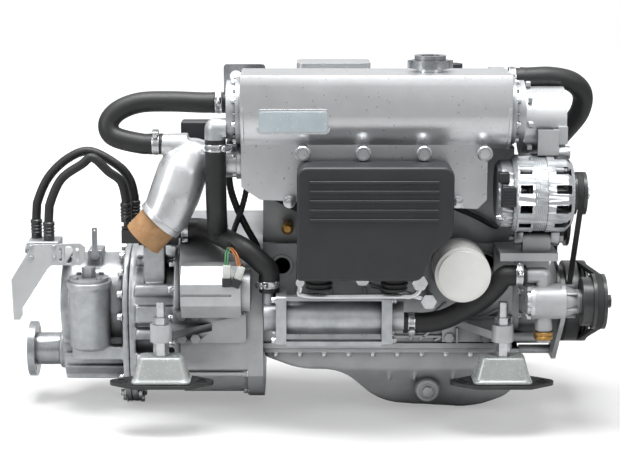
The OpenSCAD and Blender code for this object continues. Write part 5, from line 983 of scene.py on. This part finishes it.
def makeWiring(sizes):
    bm = bmesh.new()
    for radius, route in sizes["conduits"]:
        points = smoothRoute(route, 12)
        addTube(bm, points, radius, 16, [1 + sizes["ridge"] * (k % 2) for k in range(len(points))])
    newPiece(bm, "conduits", "hoseRubber", sharp=60)
    for name, route in sizes["wires"].items():
        bm = bmesh.new()
        for shift in sizes["pair"]:
            addTube(bm, smoothRoute([(x + shift, y, z) for x, y, z in route], 8), sizes["wireRadius"], 10)
        newPiece(bm, name, name, sharp=60)
    bm, caps = bmesh.new(), bmesh.new()
    out, (capLow, capHigh) = sizes["capOut"], sizes["capZ"]
    for low, high, lean in sizes["plugs"]:
        turn = (lean, 4, "Y")
        middle = (Vector(low) + Vector(high)) / 2
        addBox(bm, low, high, 1.5, 2, turn)
        addBox(caps, (low[0] - out, low[1] - out, low[2] + capLow), (high[0] + out, high[1] + out, low[2] + capHigh),
               2, 2, turn, middle)
    newPiece(bm, "plugShells", "paleNylon")
    newPiece(caps, "plugCaps", "mouldedBlackPlastic")
    bm = bmesh.new()
    for box in sizes["relay"]:
        addBox(bm, *box)
    newPiece(bm, "relayBox", "mouldedBlackPlastic")


makeWiring(wiringSizes)
print("wiring made")

# ---- oil sump: a cast pan with soft corners, its rail, side ribs and drain plug
sumpSizes = {
    "profile": [(-121.5, 34, 1), (-121.5, 18, 10), (-56, -7, 30), (20, -7, 34), (92, -77, 40), (264, -88, 34),
        (339.5, -56, 34), (339.5, 34, 1)],
    "half": 95.5, "lowHalf": 62, "wall": 6, "shoulder": -7, "bottom": -88, "railX": (-121.8, 339.8),
    "railY": 115.8, "railZ": (30, 37.9), "railIn": 22, "ribs": (104, 150, 220, 268), "rib": (5, 4, -30, 32),
    "voxel": 2.6, "smooth": 7, "drain": (176, -80, -45),
    "plug": [(0, 0), (0, 24), (22, 21), (24, 19), (24, 0)], "plugBolt": (24, 19, 8)}


def makeSump(sizes):
    bm = bmesh.new()
    outline = filletOutline(sizes["profile"], 8)
    half, drop = sizes["half"], sizes["shoulder"] - sizes["bottom"]
    # a trough that follows the profile, closed by its two side walls, so that the crank turns inside it
    wall, top, start, end = sizes["wall"], outline[0][1], outline[0][0], outline[-1][0]
    middle, share = (start + end) / 2, 1 - 2 * wall / (end - start)
    inner = [(middle + (x - middle) * share, min(z + wall, top)) for x, z in outline]
    addPlate(bm, [(x, 1 - half, z) for x, z in list(outline) + inner[::-1]], (0, 2 * half - 2, 0))
    for y in (-half, half - wall):
        addPlate(bm, [(x, y, z) for x, z in outline], (0, wall, 0))
    bmesh.ops.bisect_plane(bm, geom=bm.verts[:] + bm.edges[:] + bm.faces[:], plane_co=(0, 0, sizes["shoulder"]),
                           plane_no=(0, 0, 1))
    for vert in bm.verts:
        if vert.co.z < sizes["shoulder"]:
            share = (sizes["shoulder"] - vert.co.z) / drop
            vert.co.y *= 1 - share * (1 - sizes["lowHalf"] / half)
    thick, deep, ribLow, ribHigh = sizes["rib"]
    for x in sizes["ribs"]:
        for y in (1 - half, half - deep - 1):
            addBox(bm, (x, y, ribLow), (x + thick, y + deep, ribHigh))
    newPiece(bm, "sumpPan", "silverCastingShaded", "oil_sump", voxel=sizes["voxel"], smooth=sizes["smooth"])
    bm = bmesh.new()
    (aft, fore), side, (low, high), inset = sizes["railX"], sizes["railY"], sizes["railZ"], sizes["railIn"]
    for near, far in ((-side, inset - side), (side - inset, side)):
        addBox(bm, (aft, near, low), (fore, far, high), 1.5, 2)
    for near, far in ((aft, aft + 5), (fore - 5, fore)):
        addBox(bm, (near, inset - side - 2, low), (far, side - inset + 2, high), 1.5, 2)
    x, y, z = sizes["drain"]
    out, flats, height = sizes["plugBolt"]
    addLathe(bm, sizes["plug"], (x, y, z), (0, -1, 0), 48)
    addBolt(bm, (x, y - out, z), (0, -1, 0), flats, height)
    newPiece(bm, "sumpRail", "silverCastingShaded")


makeSump(sumpSizes)

# ---- crankcase side: cast ribs that fan out to the mount, core plugs and two brass sensors
caseSizes = {
    "face": -109, "proud": 6,
    "ribs": [((140, 56), (206, 122)), ((160, 54), (250, 128)), ((186, 52), (318, 118)), ((110, 60), (318, 60)),
        ((112, 58), (112, 150)), ((-60, 60), (-60, 150)), ((0, 60), (0, 150)), ((60, 60), (60, 150))],
    "plugs": ((-88, 190), (276, 196)), "ribWidth": 5,
    "plug": [(-2, 0), (-2, 20), (2.5, 20), (3.5, 19), (3.5, 16), (1, 14), (1, 0)], "sensor": (-78, -120, 262),
    "sensorBody": [(0, 0), (0, 10.5), (3, 11), (14, 11), (16, 9), (20, 6), (20, 0)],
    "nuts": (((-78, -90, 262), (-78, -120, 262), 9, 0.8), ((-48, -92, 288), (-48, -126, 288), 6, 0.6))}


def makeCaseRibs(sizes):
    bm = bmesh.new()
    face, proud = sizes["face"], sizes["proud"]
    for (x0, z0), (x1, z1) in sizes["ribs"]:
        along = Vector((x1 - x0, 0, z1 - z0))
        middle = Vector(((x0 + x1) / 2, face - proud / 2, (z0 + z1) / 2))
        place = Matrix.Translation(middle) @ Matrix.Rotation(-math.atan2(along.z, along.x), 4, "Y")
        addBlock(bm, place, (along.length, proud, sizes["ribWidth"]), 1.4, 2)
    for x, z in sizes["plugs"]:
        addLathe(bm, sizes["plug"], (x, face, z), (0, -1, 0), 44)
    newPiece(bm, "caseRibs", "silverCastingShaded")
    bm = bmesh.new()
    for start, end, radius, edge in sizes["nuts"]:
        addBar(bm, start, end, radius, sides=6, edge=edge)
    addLathe(bm, sizes["sensorBody"], sizes["sensor"], (0, -1, 0), 36)
    newPiece(bm, "brassFittings", "agedBrass")


makeCaseRibs(caseSizes)
print("sump and crankcase made")


# ---- floor, light and camera
stageSizes = {
    "floorSize": 14.0, "floorColour": "#d2d2d2", "worldColour": "#ffffff", "worldStrength": 0.24,
    "skyFrom": -0.1, "skyTo": 0.7, "skyLow": 0.3, "skyHigh": 1.15, "glowNear": 0.34, "glowFar": 0.95,
    "targetX": -38, "targetZ": 229, "distance": 3240, "elevation": 11, "scale": 1.85, "pictureWidth": 620,
    "sensor": 36, "glowFrom": 0.7, "glowTo": 2.6}

# each lamp: name, place and aim in metres, size in metres and power in watts
lamps = [("topSoftbox", (-0.2, -0.5, 2.4), (0, 0, 0.2), (2.2, 1.2), 96),
         ("leftSoftbox", (-2.4, -1.6, 1.3), (0, 0, 0.25), (1.0, 1.6), 22),
         ("rightSoftbox", (2.2, -1.9, 1.5), (0, 0, 0.25), (0.9, 1.4), 14)]


def makeStage(sizes):
    low = cadBox[0].z
    bm = bmesh.new()
    bmesh.ops.create_grid(bm, x_segments=1, y_segments=1, size=sizes["floorSize"] / 2)
    bmesh.ops.translate(bm, verts=bm.verts, vec=(0, 0, low))
    floor, mesh = linkMesh(bm, "studioFloor")
    material, tree, surface = newMaterial("paleFloor", {"Base Color": hexColour(sizes["floorColour"]),
                                                        "Roughness": 0.9})
    # the floor glows for the camera alone, more so far off, so that it meets the white world without a line
    place = addNode(tree, "ShaderNodeTexCoord").outputs["Object"]
    far = addNode(tree, "ShaderNodeVectorMath", {"operation": "LENGTH"}, {0: place})
    glow = addNode(tree, "ShaderNodeMapRange",
                   {"From Min": sizes["glowFrom"], "From Max": sizes["glowTo"], "To Min": sizes["glowNear"],
                    "To Max": sizes["glowFar"]}, {"Value": far.outputs["Value"]})
    seen = addNode(tree, "ShaderNodeLightPath").outputs["Is Camera Ray"]
    amount = addNode(tree, "ShaderNodeMath", {"operation": "MULTIPLY"}, {0: glow.outputs["Result"], 1: seen})
    tree.links.new(amount.outputs["Value"], surface.inputs["Emission Strength"])
    surface.inputs["Emission Color"].default_value = (1, 1, 1, 1)
    mesh.materials.append(material)
    world = bpy.data.worlds.new("studioWorld")
    scene.world = world
    world.use_nodes = True
    tree = world.node_tree
    tree.nodes.clear()
    rays = addNode(tree, "ShaderNodeLightPath")
    # reflections see a sky that is bright overhead and dimmer at the horizon, the camera sees plain white
    ways = addNode(tree, "ShaderNodeTexCoord").outputs["Generated"]
    height = addNode(tree, "ShaderNodeSeparateXYZ", links={0: ways})
    sky = addNode(tree, "ShaderNodeMapRange", {"From Min": sizes["skyFrom"], "From Max": sizes["skyTo"],
                                               "To Min": sizes["skyLow"], "To Max": sizes["skyHigh"]},
                  {"Value": height.outputs["Z"]})
    soft = addNode(tree, "ShaderNodeMix", {"data_type": "FLOAT", 2: sizes["worldStrength"]},
                   {0: rays.outputs["Is Glossy Ray"], 3: sky.outputs["Result"]})
    strength = addNode(tree, "ShaderNodeMix", {"data_type": "FLOAT", 3: 1.0},
                       {0: rays.outputs["Is Camera Ray"], 2: soft.outputs[0]})
    light = addNode(tree, "ShaderNodeBackground", {"Color": hexColour(sizes["worldColour"])},
                    {"Strength": strength.outputs[0]})
    output = addNode(tree, "ShaderNodeOutputWorld")
    tree.links.new(light.outputs["Background"], output.inputs["Surface"])


def addLamp(name, place, target, size, power):
    data = bpy.data.lights.new(name, "AREA")
    data.shape = "RECTANGLE"
    data.size, data.size_y = size
    data.energy = power
    lamp = bpy.data.objects.new(name, data)
    scene.collection.objects.link(lamp)
    lamp.location = place
    lamp.rotation_euler = (Vector(target) - Vector(place)).to_track_quat("-Z", "Y").to_euler()


def makeCamera(sizes):
    lift = math.radians(sizes["elevation"])
    target = Vector((sizes["targetX"], 0, sizes["targetZ"])) * mm
    back = Vector((0, -math.cos(lift), math.sin(lift)))
    data = bpy.data.cameras.new("camera")
    data.sensor_width = sizes["sensor"]
    data.lens = sizes["sensor"] * sizes["distance"] / sizes["scale"] / sizes["pictureWidth"]
    camera = bpy.data.objects.new("camera", data)
    scene.collection.objects.link(camera)
    camera.location = target + back * sizes["distance"] * mm
    camera.rotation_euler = (-back).to_track_quat("-Z", "Y").to_euler()
    scene.camera = camera


makeStage(stageSizes)
for lamp in lamps:
    addLamp(*lamp)
makeCamera(stageSizes)
scene.view_settings.view_transform = "Standard"
print("stage ready")
